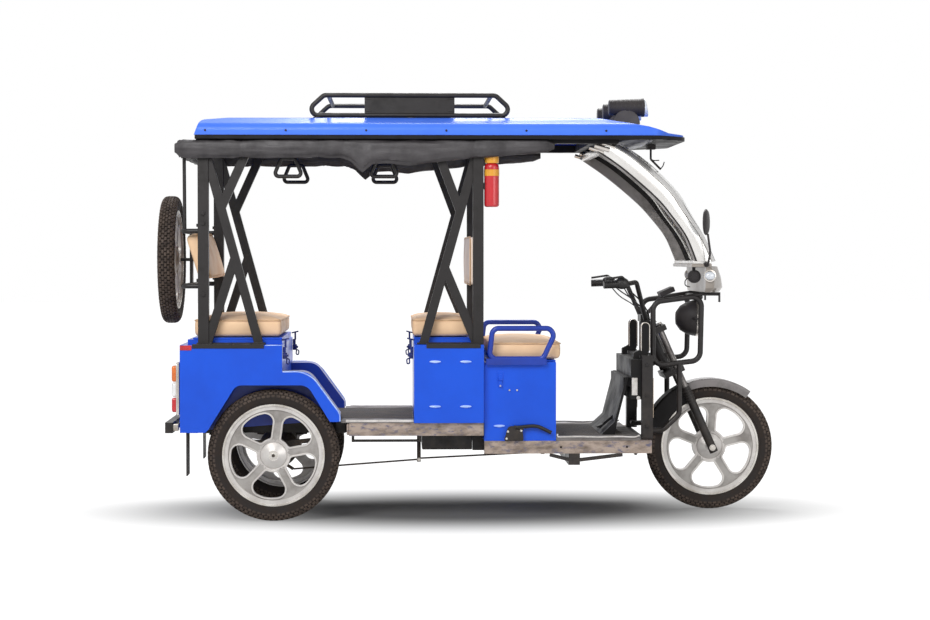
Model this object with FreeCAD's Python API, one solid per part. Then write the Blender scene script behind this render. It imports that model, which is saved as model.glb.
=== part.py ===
import FreeCAD, Part
import os
from math import asin, cos, degrees, radians, sin, tan

V = FreeCAD.Vector

# Three-wheeled electric rickshaw. Millimetres. +X is forwards, +Y is the vehicle's left, +Z is up.
# The tables below measure X from the rear axle; at the end every piece is moved so that the
# origin lies on the ground at the middle of the whole vehicle.

# Wheels and stance
WHEELBASE = 2038.0
TYRE_R = 299.0
TYRE_W = 82.0
RIM_R = 231.0
TRACK = 836.0
FORK_RAKE = 24.0
AXLE_Z = TYRE_R

# Frame and panels
BODY_HALF = 490.0
ROOF_HALF = 480.0
SHEET = 3.0
RAIL_H = 58.0
RAIL_W = 38.0
RAIL_WALL = 3.0
REAR_RAIL_Z = 388.0
FRONT_RAIL_Z = 304.0
REAR_RAIL_HALF = 472.0
FRONT_RAIL_HALF = 450.0
POST = 48.0
POST_HALF = ROOF_HALF - 33.0
POST_INNER = POST_HALF - POST
LATTICE = 40.0
LATTICE_DEPTH = 30.0
BEAM = 40.0
BEAM_Y = 250.0
LEG_POST_X = WHEELBASE - 359.0
LEG_POST_Y = 330.0
LEG_POST_W = 50.0
FLOOR_T = 3.0
MAT_T = 8.0
GAP = 0.3

# Seat boxes and cushions
SEAT_Z = 799.0
CURB_H = 22.0
CURB_W = 30.0
LID_T = 8.0
SEAT_HALF = POST_INNER - 4.0
LID_HALF = SEAT_HALF - 3.0
CUSHION_T = 92.0
CUSHION_R = 28.0
REAR_BOX_BACK = -416.0
REAR_BOX_FRONT = 42.0
MIDDLE_BOX_BACK = 634.0
MIDDLE_BOX_FRONT = 949.0
DRIVER_BOX_BACK = 951.0
DRIVER_BOX_FRONT = 1277.0
DRIVER_BOX_HALF = 452.0
DRIVER_BOX_TOP = 719.0
DRIVER_CUSHION_T = 88.0
DRIVER_SEAT_HALF = DRIVER_BOX_HALF - 32.0

# Wheel housings of the rear body
HOUSING_INNER = 348.0
FENDER_TOP = 679.0
ARCH_TOP = 618.0
BODY_FOOT = 405.0
FLAP_X = -384.0

# Roof
ROOF_FRONT = LEG_POST_X + 193.0
ROOF_SKIN = 5.0
ROOF_BASE = 1742.0
ROOF_TOP = 1824.0
ROOF_RAIL_Z = 1706.0
RIM_H = 18.0
CURTAIN_T = 42.0

# Rear axle and leaf springs
AXLE_R = 24.0
AXLE_PIN_R = 7.5
SPRING_Y = 300.0
SPRING_W = 44.0
SPRING_HALF = 300.0
SPRING_SAG = 36.0
SPRING_PAD = 6.0
LEAF_T = 6.0
LEAVES = 4

REAR_RAIL_TOP = REAR_RAIL_Z + RAIL_H
FRONT_RAIL_TOP = FRONT_RAIL_Z + RAIL_H
LID_Z = SEAT_Z + CURB_H + GAP
CUSHION_Z = LID_Z + LID_T
DRIVER_LID_Z = DRIVER_BOX_TOP + GAP
WHEEL_Y = TRACK / 2
RIM_Z = ROOF_BASE - GAP - RIM_H
SPRING_LOW = AXLE_Z + AXLE_R + GAP + SPRING_PAD
SPRING_EYE_Z = SPRING_LOW + LEAVES * LEAF_T + SPRING_SAG

PLANES = {
    "xz": lambda u, v, w: V(u, w, v),
    "xy": lambda u, v, w: V(u, v, w),
    "yz": lambda u, v, w: V(w, u, v),
}


def joined(shapes):
    """One solid from pieces that overlap or touch"""
    first = shapes[0]
    return first if len(shapes) == 1 else first.multiFuse(shapes[1:])


def apart(shapes):
    """Like pieces that share a node without touching"""
    return Part.makeCompound(shapes)


def mirrored(shape):
    """The same piece on the vehicle's other side"""
    return shape.mirror(V(0, 0, 0), V(0, 1, 0))


def both(shape):
    return apart([shape, mirrored(shape)])


def box(x0, x1, y0, y1, z0, z1):
    return Part.makeBox(x1 - x0, y1 - y0, z1 - z0, V(x0, y0, z0))


def rod(start, end, radius):
    """Round bar from one point to another"""
    a, b = V(*start), V(*end)
    return Part.makeCylinder(radius, (b - a).Length, a, b - a)


def corner(before, here, after, radius):
    """Start, middle and end of the arc that rounds one corner"""
    back = (before - here).normalize()
    ahead = (after - here).normalize()
    half = back.getAngle(ahead) / 2
    inward = (back + ahead).normalize()
    reach = radius / tan(half)
    middle = here + inward * (radius / sin(half) - radius)
    return here + back * reach, middle, here + ahead * reach


def closed_wire(points, radii):
    """Closed wire of straight runs joined by tangent arcs"""
    count = len(points)
    edges = []
    stops = []
    for i, here in enumerate(points):
        if radii[i]:
            stops.append(corner(points[i - 1], here, points[(i + 1) % count], radii[i]))
        else:
            stops.append((here, None, here))
    for i, (start, middle, end) in enumerate(stops):
        if middle is not None:
            edges.append(Part.Arc(start, middle, end).toShape())
        following = stops[(i + 1) % count][0]
        if (following - end).Length > 1e-6:
            edges.append(Part.LineSegment(end, following).toShape())
    return Part.Wire(edges)


def open_wire(points, bend):
    """Open wire of straight runs joined by tangent arcs of one bend radius"""
    edges = []
    start = points[0]
    for i in range(1, len(points) - 1):
        first, middle, last = corner(points[i - 1], points[i], points[i + 1], bend)
        edges.append(Part.LineSegment(start, first).toShape())
        edges.append(Part.Arc(first, middle, last).toShape())
        start = last
    edges.append(Part.LineSegment(start, points[-1]).toShape())
    return Part.Wire(edges)


def plate(corners, plane, low, high):
    """Plate whose outline has corners (u, v) or (u, v, radius), from low to high across its plane"""
    place = PLANES[plane]
    points = [place(c[0], c[1], low) for c in corners]
    radii = [c[2] if len(c) > 2 else 0 for c in corners]
    return Part.Face(closed_wire(points, radii)).extrude(place(0, 0, high - low))


def pipe(points, radius, bend):
    """Round tube along a bent path"""
    points = [V(*p) for p in points]
    ring = Part.Wire(Part.Circle(points[0], points[1] - points[0], radius).toShape())
    return open_wire(points, bend).makePipeShell([ring], True, False)


def hoop(points, radius, bend):
    """Round tube bent into a closed loop"""
    points = [V(*p) for p in points]
    start = (points[0] + points[-1]) / 2
    wire = closed_wire(points, [bend] * len(points))
    along = points[0] - points[-1]
    straight = Part.Wire(Part.sortEdges(wire.Edges)[0])
    ring = Part.Wire(Part.Circle(start, along, radius).toShape())
    return straight.makePipeShell([ring], True, False)


def strut(start, end, width, y0, y1):
    """Flat-sided bar between two points (x, z), width measured across it"""
    a, b = V(start[0], 0, start[1]), V(end[0], 0, end[1])
    across = (b - a).cross(V(0, 1, 0)).normalize() * (width / 2)
    corners = [a + across, b + across, b - across, a - across]
    return plate([(p.x, p.z) for p in corners], "xz", y0, y1)


def tray(x0, x1, half, z0, z1, wall):
    """Open-topped box with walls and floor of one thickness"""
    inside = box(x0 + wall, x1 - wall, -half + wall, half - wall, z0 + wall, z1 + wall)
    return box(x0, x1, -half, half, z0, z1).cut(inside)


def ring_frame(x0, x1, half, z0, z1, across, along):
    """Rectangular ring lying flat, with the widths of its cross members and of its sides"""
    inside = box(x0 + across, x1 - across, along - half, half - along, z0 - 1, z1 + 1)
    return box(x0, x1, -half, half, z0, z1).cut(inside)


def tube_rail(x0, x1, y0, y1, z0, z1, wall):
    """Rectangular tube that runs along X"""
    inside = box(x0 - 1, x1 + 1, y0 + wall, y1 - wall, z0 + wall, z1 - wall)
    return box(x0, x1, y0, y1, z0, z1).cut(inside)


def pad(x0, x1, half, z0, z1, radius):
    """Plain cushion with rounded edges, wide along Y"""
    corners = [(x0, z0, radius), (x1, z0, radius), (x1, z1, radius), (x0, z1, radius)]
    return plate(corners, "xz", -half, half)


# Side rails: galvanised rectangular tube along both sides of each floor

REAR_RAIL_X = (341.0, 948.0)
FRONT_RAIL_X = (953.0, LEG_POST_X + 34.0)
RAIL_HOLE_X = (1300.0, 1600.0)
RAIL_HOLE_R = 5.0


def side_rails():
    rear = tube_rail(*REAR_RAIL_X, -REAR_RAIL_HALF, RAIL_W - REAR_RAIL_HALF,
                     REAR_RAIL_Z, REAR_RAIL_TOP, RAIL_WALL)
    front = tube_rail(*FRONT_RAIL_X, -FRONT_RAIL_HALF, RAIL_W - FRONT_RAIL_HALF,
                      FRONT_RAIL_Z, FRONT_RAIL_TOP, RAIL_WALL)
    middle_z = FRONT_RAIL_Z + RAIL_H / 2
    for x in RAIL_HOLE_X:
        front = front.cut(rod((x, -FRONT_RAIL_HALF - 9, middle_z), (x, 0, middle_z), RAIL_HOLE_R))
    return apart([rear, mirrored(rear), front, mirrored(front)])


# Chassis: two black inner beams on two levels, and what crosses them

REAR_CROSS_X = (-390.0, 330.0, 645.0, 905.0)
FLOOR_FRONT = LEG_POST_X - 19.0
FRONT_CROSS_X = (955.0, 1285.0, FLOOR_FRONT)
DROP_BEAM_X = (1334.0, 1386.0)
DROP_BEAM_H = 52.0
STEP_ROD = (352.0, 668.0, 363.0)  # x0, x1, z
STEP_ROD_R = 6.0


def chassis_frame():
    inner = BEAM_Y - BEAM / 2
    outer = BEAM_Y + BEAM / 2
    pieces = []
    for side in (-1, 1):
        y0, y1 = sorted((side * inner, side * outer))
        pieces.append(box(REAR_BOX_BACK + 10, 945, y0, y1, REAR_RAIL_Z, REAR_RAIL_TOP))
        pieces.append(box(905, FLOOR_FRONT + BEAM, y0, y1, FRONT_RAIL_Z, FRONT_RAIL_TOP))
        pieces.append(box(905, 945, y0, y1, FRONT_RAIL_Z, REAR_RAIL_TOP))
        h0, h1 = sorted((side * inner, side * (SPRING_Y + SPRING_W / 2)))
        for x in (-SPRING_HALF, SPRING_HALF):
            pieces.append(box(x - 22, x + 22, h0, h1, SPRING_EYE_Z + GAP, REAR_RAIL_TOP))
    rear_half = REAR_RAIL_HALF - RAIL_W
    front_half = FRONT_RAIL_HALF - RAIL_W
    for x in REAR_CROSS_X:
        half = rear_half if x > REAR_RAIL_X[0] else HOUSING_INNER - 4
        pieces.append(box(x, x + BEAM, -half, half, REAR_RAIL_Z + 4, REAR_RAIL_TOP))
    for x in FRONT_CROSS_X:
        pieces.append(box(x, x + BEAM, -front_half, front_half, FRONT_RAIL_Z + 4, FRONT_RAIL_TOP))
    drop_z = FRONT_RAIL_Z - DROP_BEAM_H
    pieces.append(box(*DROP_BEAM_X, -FRONT_RAIL_HALF, FRONT_RAIL_HALF, drop_z, FRONT_RAIL_Z))
    for side in (-1, 1):
        y0, y1 = sorted((side * (FRONT_RAIL_HALF - 30), side * FRONT_RAIL_HALF))
        pieces.append(strut((1250, FRONT_RAIL_Z - 7), (1350, drop_z + 20), 14, y0, y1))
        pieces.append(strut((1370, drop_z + 20), (1580, FRONT_RAIL_Z - 7), 14, y0, y1))
        x0, x1, z = STEP_ROD
        y = side * (rear_half - STEP_ROD_R)
        pieces.append(rod((x0, y, z), (x1, y, z), STEP_ROD_R))
        y0, y1 = y - STEP_ROD_R, y + STEP_ROD_R
        for x in (x0, x1 - 12):
            pieces.append(box(x, x + 12, y0, y1, z - STEP_ROD_R, REAR_RAIL_Z + 8))
    return joined(pieces)


# Floors: sheet pans with a rubber mat

def floor_pans():
    narrow = HOUSING_INNER - 4
    z0 = REAR_RAIL_TOP + GAP
    z1 = z0 + FLOOR_T + MAT_T
    half = REAR_RAIL_HALF
    front = MIDDLE_BOX_BACK - 1
    back = REAR_BOX_FRONT + 1
    step = 306
    rear = plate([(back, -narrow), (step, -narrow), (step, -half), (front, -half), (front, half),
                  (step, half), (step, narrow), (back, narrow)], "xy", z0, z1)
    fz = FRONT_RAIL_TOP + GAP
    forward = box(DRIVER_BOX_FRONT + 1, FLOOR_FRONT, -FRONT_RAIL_HALF, FRONT_RAIL_HALF, fz, fz + 13)
    return apart([rear, forward])


# Rear body: blue seat box with a housing over each wheel, open below

FENDER = [  # x, z, corner radius, along the housing's outer skin
    (-338, BODY_FOOT, 0), (-200, 650, 70), (40, 650, 0), (40, FENDER_TOP, 0),
    (162, FENDER_TOP, 75), (301, 489, 0), (301, 453, 0)]
SIDE_PANEL = [  # x, z, corner radius
    (-416, BODY_FOOT, 0), (-416, SEAT_Z, 0), (42, SEAT_Z, 0), (42, FENDER_TOP, 0),
    (162, FENDER_TOP, 75), (301, 489, 0), (301, 453, 12), (256, 453, 0), (155, ARCH_TOP, 60),
    (-165, ARCH_TOP, 45), (-290, 418, 0), (-304, BODY_FOOT, 0)]


def housing(y0, y1):
    """Skin of one wheel housing, open below and towards the wheel's outer side"""
    outer = plate(FENDER, "xz", y0, y1)
    inside = [(-338 + 4, 395, 0), (-200 + 2, 650 - SHEET, 68), (40 + SHEET, 650 - SHEET, 0),
              (40 + SHEET, FENDER_TOP - SHEET, 0), (161, FENDER_TOP - SHEET, 73),
              (301 - SHEET, 488, 0), (301 - SHEET, 395, 0)]
    room = plate(inside, "xz", y0 + SHEET, y1 + 2 * SHEET)
    return outer.cut(room), room


def rear_body():
    x0, x1, half = REAR_BOX_BACK, REAR_BOX_FRONT, BODY_HALF
    skin, room = housing(HOUSING_INNER, half - SHEET)
    floor = REAR_RAIL_TOP + GAP
    back = box(x0, x0 + SHEET, -half, half, BODY_FOOT, SEAT_Z)
    front = box(x1 - SHEET, x1, -half, half, floor, SEAT_Z)
    base = box(x0, x1, -HOUSING_INNER, HOUSING_INNER, floor, floor + SHEET)
    lip = box(x0, FLAP_X + 4, HOUSING_INNER + 10, half, BODY_FOOT, BODY_FOOT + SHEET)
    sides = [plate(SIDE_PANEL, "xz", half - SHEET, half), plate(SIDE_PANEL, "xz", -half, SHEET - half)]
    top = ring_frame(x0, x1, half, SEAT_Z - SHEET, SEAT_Z, 57, half - SEAT_HALF + CURB_W)
    curb = ring_frame(-389, 38, SEAT_HALF, SEAT_Z, SEAT_Z + CURB_H, CURB_W, CURB_W)
    shell = joined([back, front, base, top, lip, mirrored(lip)]).cut(room).cut(mirrored(room))
    return joined([shell, skin, mirrored(skin), curb] + sides)


# Middle box: seat box behind the driver, with pressed louvres in its sides

LOUVRE_W = 54.0
LOUVRE_H = 10.0
LOUVRE_OUT = 5.0
MIDDLE_LOUVRES = [(729, 723), (867, 723), (729, 521), (867, 521)]  # x, z
DRIVER_LOUVRES = [(1020, 430), (1165, 430)]  # x, z


def louvre(x, z, y):
    """Small pressed hood on an outer wall"""
    half = LOUVRE_W / 2
    hood = [(y, z - LOUVRE_H / 2), (y + LOUVRE_OUT, z - LOUVRE_H / 2), (y, z + LOUVRE_H / 2)]
    return plate(hood, "yz", x - half, x + half)


def louvres(table, y):
    pieces = []
    for x, z in table:
        piece = louvre(x, z, y)
        pieces += [piece, mirrored(piece)]
    return pieces


def middle_seat_box():
    x0, x1 = MIDDLE_BOX_BACK, MIDDLE_BOX_FRONT
    shell = tray(x0, x1, BODY_HALF, REAR_RAIL_TOP + GAP, SEAT_Z, SHEET)
    top = ring_frame(x0, x1, BODY_HALF, SEAT_Z - SHEET, SEAT_Z, 83, BODY_HALF - SEAT_HALF + CURB_W)
    curb = ring_frame(x0, 896, SEAT_HALF, SEAT_Z, SEAT_Z + CURB_H, CURB_W, CURB_W)
    return joined([shell, top, curb] + louvres(MIDDLE_LOUVRES, BODY_HALF))


def driver_seat_box():
    x0, x1 = DRIVER_BOX_BACK, DRIVER_BOX_FRONT
    z0 = FRONT_RAIL_TOP + GAP
    shell = tray(x0, x1, DRIVER_BOX_HALF, z0, DRIVER_BOX_TOP, SHEET)
    top = ring_frame(x0, x1, DRIVER_BOX_HALF, DRIVER_BOX_TOP - SHEET, DRIVER_BOX_TOP, 40, 52)
    return joined([shell, top] + louvres(DRIVER_LOUVRES, DRIVER_BOX_HALF))


ARM_R = 12.0
ARM_Y = DRIVER_BOX_HALF + ARM_R + 0.5
ARM_LOOP = [(973, 734), (989, 872), (1248, 872), (1267, 841), (1217, 734)]  # x, z


def armrests():
    loop = hoop([(x, ARM_Y, z) for x, z in ARM_LOOP], ARM_R, 30)
    seat = box(960, 1232, DRIVER_BOX_HALF, ARM_Y + ARM_R, 708, 736)
    return both(joined([loop, seat]))


# Pillar frames: square posts braced by crossed diagonals, one pair each side

PILLAR_TOP = ROOF_RAIL_Z
REAR_POST_X = -338.0
MIDDLE_POST_X = 901.0
REAR_BRACES = [  # start (x, z), end (x, z)
    ((-310, 1691), (-65, 800)), ((-110, 1690), (-236, 1412)), ((-174, 1186), (-298, 803))]
MIDDLE_BRACES = [
    ((921, 1678), (677, 800)), ((735, 1690), (842, 1403)), ((774, 1145), (915, 807))]


def pillar_frame(post_x, braces, foot_x0, foot_x1):
    y1 = -POST_HALF + POST
    mid0 = -POST_HALF + (POST - LATTICE_DEPTH) / 2
    base = SEAT_Z + GAP
    pieces = [box(post_x, post_x + POST, -POST_HALF, y1, base, PILLAR_TOP)]
    pieces.append(box(foot_x0, foot_x1, -POST_HALF, y1, base, base + 8))
    braces_all = [strut(a, b, LATTICE, mid0, mid0 + LATTICE_DEPTH) for a, b in braces]
    room = box(foot_x0 - 200, foot_x1 + 300, -600, 0, base, PILLAR_TOP)
    return joined(pieces + [b.common(room) for b in braces_all])


def pillar_frames():
    return apart([pillar_frame(REAR_POST_X, REAR_BRACES, -345, -36),
                  pillar_frame(MIDDLE_POST_X, MIDDLE_BRACES, 648, 949)])


# Roof: steel frame, painted shell with a rounded front, and the rim under its edge

ROOF_SIDE = [  # x, z, corner radius, of the shell seen from the side
    (-351, ROOF_BASE, 0), (-325, 1813, 30), (-200, ROOF_TOP, 0), (ROOF_FRONT - 399, ROOF_TOP, 200),
    (ROOF_FRONT - 177, 1783, 0), (ROOF_FRONT - 83, 1755, 0), (ROOF_FRONT, ROOF_BASE + 8, 0),
    (ROOF_FRONT, ROOF_BASE, 0)]
ROOF_BOWS = (-330.0, 300.0, 901.0, ROOF_FRONT - 442.0, ROOF_FRONT - 352.0)
ROOF_LIP = 6.0


def roof_plan(back, out):
    """Outline of the roof from above, rounded at the front and larger on three sides by out"""
    half = ROOF_HALF + out
    side = [(ROOF_FRONT - 132, half, 60), (ROOF_FRONT + out, half - 150, 100)]
    right = [(x, -y, r) for x, y, r in side]
    return [(back, -half, 0)] + right + side[::-1] + [(back, half, 0)]


def roof_slope(x):
    """Height of the roof's front slope over a place X"""
    (x0, z0), (x1, z1) = ROOF_SIDE[3][:2], ROOF_SIDE[4][:2]
    return z0 + (z1 - z0) * (x - x0) / (x1 - x0)


ROOF_CROWN = 1826.0
ROOF_EDGE_Z = ROOF_BASE + 46.0


def roof_section(inset, edge_r, crown_r):
    """The roof's crowned cross-section as a long bar, smaller all round by an inset"""
    half = ROOF_HALF - inset
    flat = ROOF_HALF * 0.8 - inset
    foot = ROOF_BASE - inset
    corners = [(half, foot, 0), (half, ROOF_EDGE_Z, edge_r), (flat, ROOF_CROWN - inset, crown_r)]
    left = [(-y, z, r) for y, z, r in corners[::-1]]
    return plate(corners + left, "yz", REAR_BOX_BACK, ROOF_FRONT + 100)


def roof_shell():
    plan = plate(roof_plan(REAR_BOX_BACK, 0), "xy", ROOF_BASE - 1, ROOF_CROWN + 50)
    outer = plate(ROOF_SIDE, "xz", -ROOF_HALF, ROOF_HALF).common(roof_section(0, 40, 60)).common(plan)
    t = ROOF_SKIN
    inside = [(-351 + 2 * t, ROOF_BASE - t, 0), (-325 + t, 1813 - t, 28), (-200, ROOF_TOP - t, 0),
              (ROOF_FRONT - 399, ROOF_TOP - t, 200), (ROOF_FRONT - 182, 1783 - t, 0),
              (ROOF_FRONT - 92, ROOF_BASE + 4, 0), (ROOF_FRONT - 82, ROOF_BASE - t, 0)]
    room = plate(inside, "xz", -ROOF_HALF, ROOF_HALF)
    inner_plan = plate(roof_plan(REAR_BOX_BACK, -t), "xy", ROOF_BASE - 2 * t, ROOF_CROWN)
    return outer.cut(room.common(roof_section(t, 36, 56)).common(inner_plan))


def roof_frame():
    pieces = []
    x0, x1 = -345.0, ROOF_FRONT - 312
    z0, z1 = ROOF_RAIL_Z + GAP, ROOF_BASE - GAP
    for side in (-1, 1):
        y0, y1 = sorted((side * (POST_HALF - POST), side * POST_HALF))
        pieces.append(box(x0, x1, y0, y1, z0, z1))
        r0, r1 = sorted((side * POST_HALF, side * (ROOF_HALF + ROOF_LIP)))
        pieces.append(box(x0 - 2, x1, r0, r1, RIM_Z, z1))
    for x in ROOF_BOWS:
        pieces.append(box(x, x + BEAM, -POST_HALF, POST_HALF, z0, z1))
    nose = plate(roof_plan(x1 - 4, ROOF_LIP), "xy", RIM_Z, z1)
    hole = box(x1 + BEAM, ROOF_FRONT - 142, 60 - ROOF_HALF, ROOF_HALF - 60, RIM_Z - 1, z1 + 1)
    pieces.append(nose.cut(hole))
    return joined(pieces)


# Luggage rack: bent tube frame on the roof with a cut plate on each side

RACK_R = 11.0
RACK_Y = 350.0
RACK_BASE_Z = 1838.0
RACK_TOP_Z = 1940.0 - RACK_R
RACK_BACK, RACK_FRONT = 127.0, 1106.0
RACK_TOP_BACK, RACK_TOP_FRONT = 227.0, 1007.0
RACK_PLATE = (411.0, 820.0, 1846.0, 1926.0)  # x0, x1, z0, z1
RACK_FEET = (200.0, 620.0, 1030.0)


def luggage_rack():
    pieces = []
    for side in (-1, 1):
        y = side * RACK_Y
        frame = [(RACK_BACK, y, RACK_BASE_Z), (RACK_TOP_BACK, y, RACK_TOP_Z),
                 (RACK_TOP_FRONT, y, RACK_TOP_Z), (RACK_FRONT, y, RACK_BASE_Z)]
        pieces.append(hoop(frame, RACK_R, 28))
        x0, x1, z0, z1 = RACK_PLATE
        pieces.append(box(x0, x1, y - 2, y + 2, z0, z1))
        for x in RACK_FEET:
            pieces.append(rod((x, y, ROOF_TOP + GAP), (x, y, RACK_BASE_Z), RACK_R - 1))
    for x, z in ((RACK_BACK + 90, RACK_BASE_Z), (RACK_TOP_BACK + 20, RACK_TOP_Z), (620, RACK_BASE_Z),
                 (RACK_TOP_FRONT - 20, RACK_TOP_Z), (RACK_FRONT - 90, RACK_BASE_Z)):
        pieces.append(rod((x, -RACK_Y, z), (x, RACK_Y, z), RACK_R - 1))
    return joined(pieces)


# Roof lamps: three cylinders with sloped fronts on domed brackets

LAMP_Y = (-280.0, 0.0, 280.0)
LAMP_BACK, LAMP_FRONT = ROOF_FRONT - 342.0, ROOF_FRONT - 159.0
LAMP_R = 42.0
LAMP_Z = 1877.0


def roof_lamps():
    lamps = []
    for y in LAMP_Y:
        can = rod((LAMP_BACK, y, LAMP_Z), (LAMP_FRONT, y, LAMP_Z), LAMP_R)
        bevel = plate([(LAMP_FRONT - 23, LAMP_Z + 60), (LAMP_FRONT + 17, LAMP_Z + 60),
                       (LAMP_FRONT + 17, LAMP_Z - 60)], "xz", y - 60, y + 60)
        x0, x1 = LAMP_BACK - 3, LAMP_FRONT - 32
        base = [(x, roof_slope(x) + GAP) for x in (x0, x1)]
        dome = base + [(x1, 1840, 20), (LAMP_BACK + 80, 1866, 30), (x0, 1850, 20)]
        foot = plate(dome, "xz", y - 36, y + 36)
        lamps.append(joined([can.cut(bevel), foot]))
    return apart(lamps)


# Rolled side curtains under the roof's edge

def rolled_curtains():
    y0 = POST_HALF + GAP
    y1 = y0 + CURTAIN_T
    roll = plate([(y0, 1636, 18), (y1, 1636, 20), (y1, 1722, 20), (y0, 1722, 18)], "yz", -438, 1268)
    back = plate([(-438, 1640, 18), (-396, 1640, 20), (-396, 1722, 20), (-438, 1722, 18)],
                 "xz", -POST_HALF, POST_HALF)
    return apart([roll, mirrored(roll), back])


# Grab handles: trapezoid loops that hang from the roof frame

HANDLE_X = (65.0, 499.0)
HANDLE_Y = POST_INNER - 19.0
HANDLE_LOW, HANDLE_HIGH = 1559.0, 1640.0


def grab_handles():
    pieces = []
    for x in HANDLE_X:
        loop = hoop([(x - 65, HANDLE_Y, HANDLE_LOW), (x + 65, HANDLE_Y, HANDLE_LOW),
                     (x + 32, HANDLE_Y, HANDLE_HIGH), (x - 32, HANDLE_Y, HANDLE_HIGH)], 9, 16)
        strap_top = ROOF_RAIL_Z + 10
        strap = box(x - 14, x + 14, HANDLE_Y - 4, HANDLE_Y + 4, HANDLE_HIGH - 5, strap_top)
        arm = box(x - 14, x + 14, HANDLE_Y - 4, POST_INNER - GAP, strap_top - 8, strap_top)
        piece = joined([loop, strap, arm])
        pieces += [piece, mirrored(piece)]
    return apart(pieces)


# Backrests

BACKREST_T = 70.0
REAR_BACK_LINE = ((-337, 1081), (-404, 1293))  # rear face, bottom and top (x, z)
MIDDLE_BACK_X = 882.0
MIDDLE_BACK_T = 50.0


def leaning_pad(bottom, top, thickness, half, radius):
    a, b = V(bottom[0], 0, bottom[1]), V(top[0], 0, top[1])
    ahead = V(0, 1, 0).cross(b - a).normalize() * thickness
    corners = [a, b, b + ahead, a + ahead]
    return plate([(p.x, p.z, radius) for p in corners], "xz", -half, half)


def rear_backrest():
    return leaning_pad(*REAR_BACK_LINE, BACKREST_T, POST_INNER - GAP, 25)


def middle_backrest():
    return pad(MIDDLE_BACK_X, MIDDLE_BACK_X + MIDDLE_BACK_T, POST_INNER - GAP, 1061, 1292, 20)


# Wheels: five-spoke cast rim and tyre, turned about Y at the origin

SPOKES = 5
SPOKE_HALF = 23.0
WINDOW_IN, WINDOW_OUT = 78.0, 195.0
WINDOW_IN_R, WINDOW_OUT_R = 12.0, 36.0
WINDOW_IN_BOW, WINDOW_OUT_BOW = 60.0, 140.0
RIB_W = 8.0
RIB_H = 5.0
HUB_R = 70.0
HUB_HALF = 40.0
RIM_BARREL = 205.0
RIM_HALF_W = 32.0
RIM_LIP = 9.0
RIM_LIP_H = 6.0
WEB_T = 20.0


def turned(profile, closed_axis=V(0, 1, 0)):
    """Ring from a profile of (radius, y) or (radius, y, corner radius), turned about the Y axis"""
    points = [V(c[0], c[1], 0) for c in profile]
    radii = [c[2] if len(c) > 2 else 0 for c in profile]
    face = Part.Face(closed_wire(points, radii))
    return face.revolve(V(0, 0, 0), closed_axis, 360)


def tyre():
    h = TYRE_W / 2
    seat = RIM_R + GAP
    return turned([(seat, 1 - RIM_HALF_W), (TYRE_R - 28, -h), (TYRE_R, 15 - h), (TYRE_R, h - 15),
                   (TYRE_R - 28, h), (seat, RIM_HALF_W - 1)])


def window(margin):
    """Outline of the opening between two spokes, larger all round by a margin"""
    reach = SPOKE_HALF - margin
    ends = [(WINDOW_OUT + margin, WINDOW_OUT_R + margin), (WINDOW_IN - margin, WINDOW_IN_R + margin)]
    corners = []
    for radius, fillet in ends:
        half = radians(180 / SPOKES) - asin(reach / radius)
        corners.append([(radius * cos(t), radius * sin(t), fillet) for t in (-half, 0, half)])
    (low, middle, high), (near_low, near_middle, near_high) = corners
    outer = (middle[0] + 6, 0, WINDOW_OUT_BOW)
    inner = (near_middle[0], 0, WINDOW_IN_BOW)
    return [low, outer, high, near_high, inner, near_low]


def rim(hub_half, drum_r):
    """Cast wheel: barrel with raised lips, a web with five windows whose edges carry ribs, and a hub"""
    w, lip = RIM_HALF_W, RIM_HALF_W - RIM_LIP_H
    bore = AXLE_PIN_R + GAP
    shoulder = RIM_R - RIM_LIP
    barrel = turned([(RIM_BARREL, -lip), (shoulder, -lip), (shoulder + 2, -w), (RIM_R, -w), (RIM_R, w),
                     (shoulder + 2, w), (shoulder, lip), (RIM_BARREL, lip)])
    hub = turned([(bore, -hub_half), (24, -hub_half, 4), (HUB_R - 12, 18 - hub_half, 16), (HUB_R, -8),
                  (HUB_R, 12), (drum_r, 16), (drum_r, hub_half), (bore, hub_half)])
    web = turned([(HUB_R - 8, -WEB_T), (RIM_BARREL + 4, -WEB_T), (RIM_BARREL + 4, 0), (HUB_R - 8, 0)])
    cut = plate(window(0), "xz", -WEB_T - RIB_H - 1, 1)
    rib = plate(window(RIB_W), "xz", -WEB_T - RIB_H, 1 - WEB_T).cut(cut)
    ribs = []
    for i in range(SPOKES):
        hole, edge = cut.copy(), rib.copy()
        for piece in (hole, edge):
            piece.rotate(V(0, 0, 0), V(0, 1, 0), 360 / SPOKES * (i + 0.5))
        web = web.cut(hole)
        ribs.append(edge)
    return joined([barrel, hub, web] + ribs)


def placed(shape, x, y, z, turn=0, flip=False):
    """A wheel piece turned about its axle, faced to one side and put at its hub"""
    piece = shape.copy()
    piece.rotate(V(0, 0, 0), V(0, 1, 0), turn)
    if flip:
        piece.rotate(V(0, 0, 0), V(0, 0, 1), 180)
    piece.translate(V(x, y, z))
    return piece


# Spare wheel on the back, upright across the vehicle, with its carrier

SPARE_X = -500.0
SPARE_Z = 1182.0


def spare(shape):
    piece = shape.copy()
    piece.rotate(V(0, 0, 0), V(0, 0, 1), 90)
    piece.translate(V(SPARE_X, 0, SPARE_Z))
    return piece


def spare_carrier():
    pieces = []
    for z in (1063.0, 1311.0):
        y = POST_HALF - POST / 2
        x = REAR_POST_X - GAP
        pieces.append(pipe([(x, -y, z), (-408, -y, z), (-408, y, z), (x, y, z)], 11, 30))
    pieces.append(box(-414, -402, -30, 30, 1052, 1322))
    pieces.append(rod((-400, 0, SPARE_Z), (SPARE_X - 30, 0, SPARE_Z), 7.5))
    return joined(pieces)


# Rear trim: lamps, bumper and mud flaps

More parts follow.
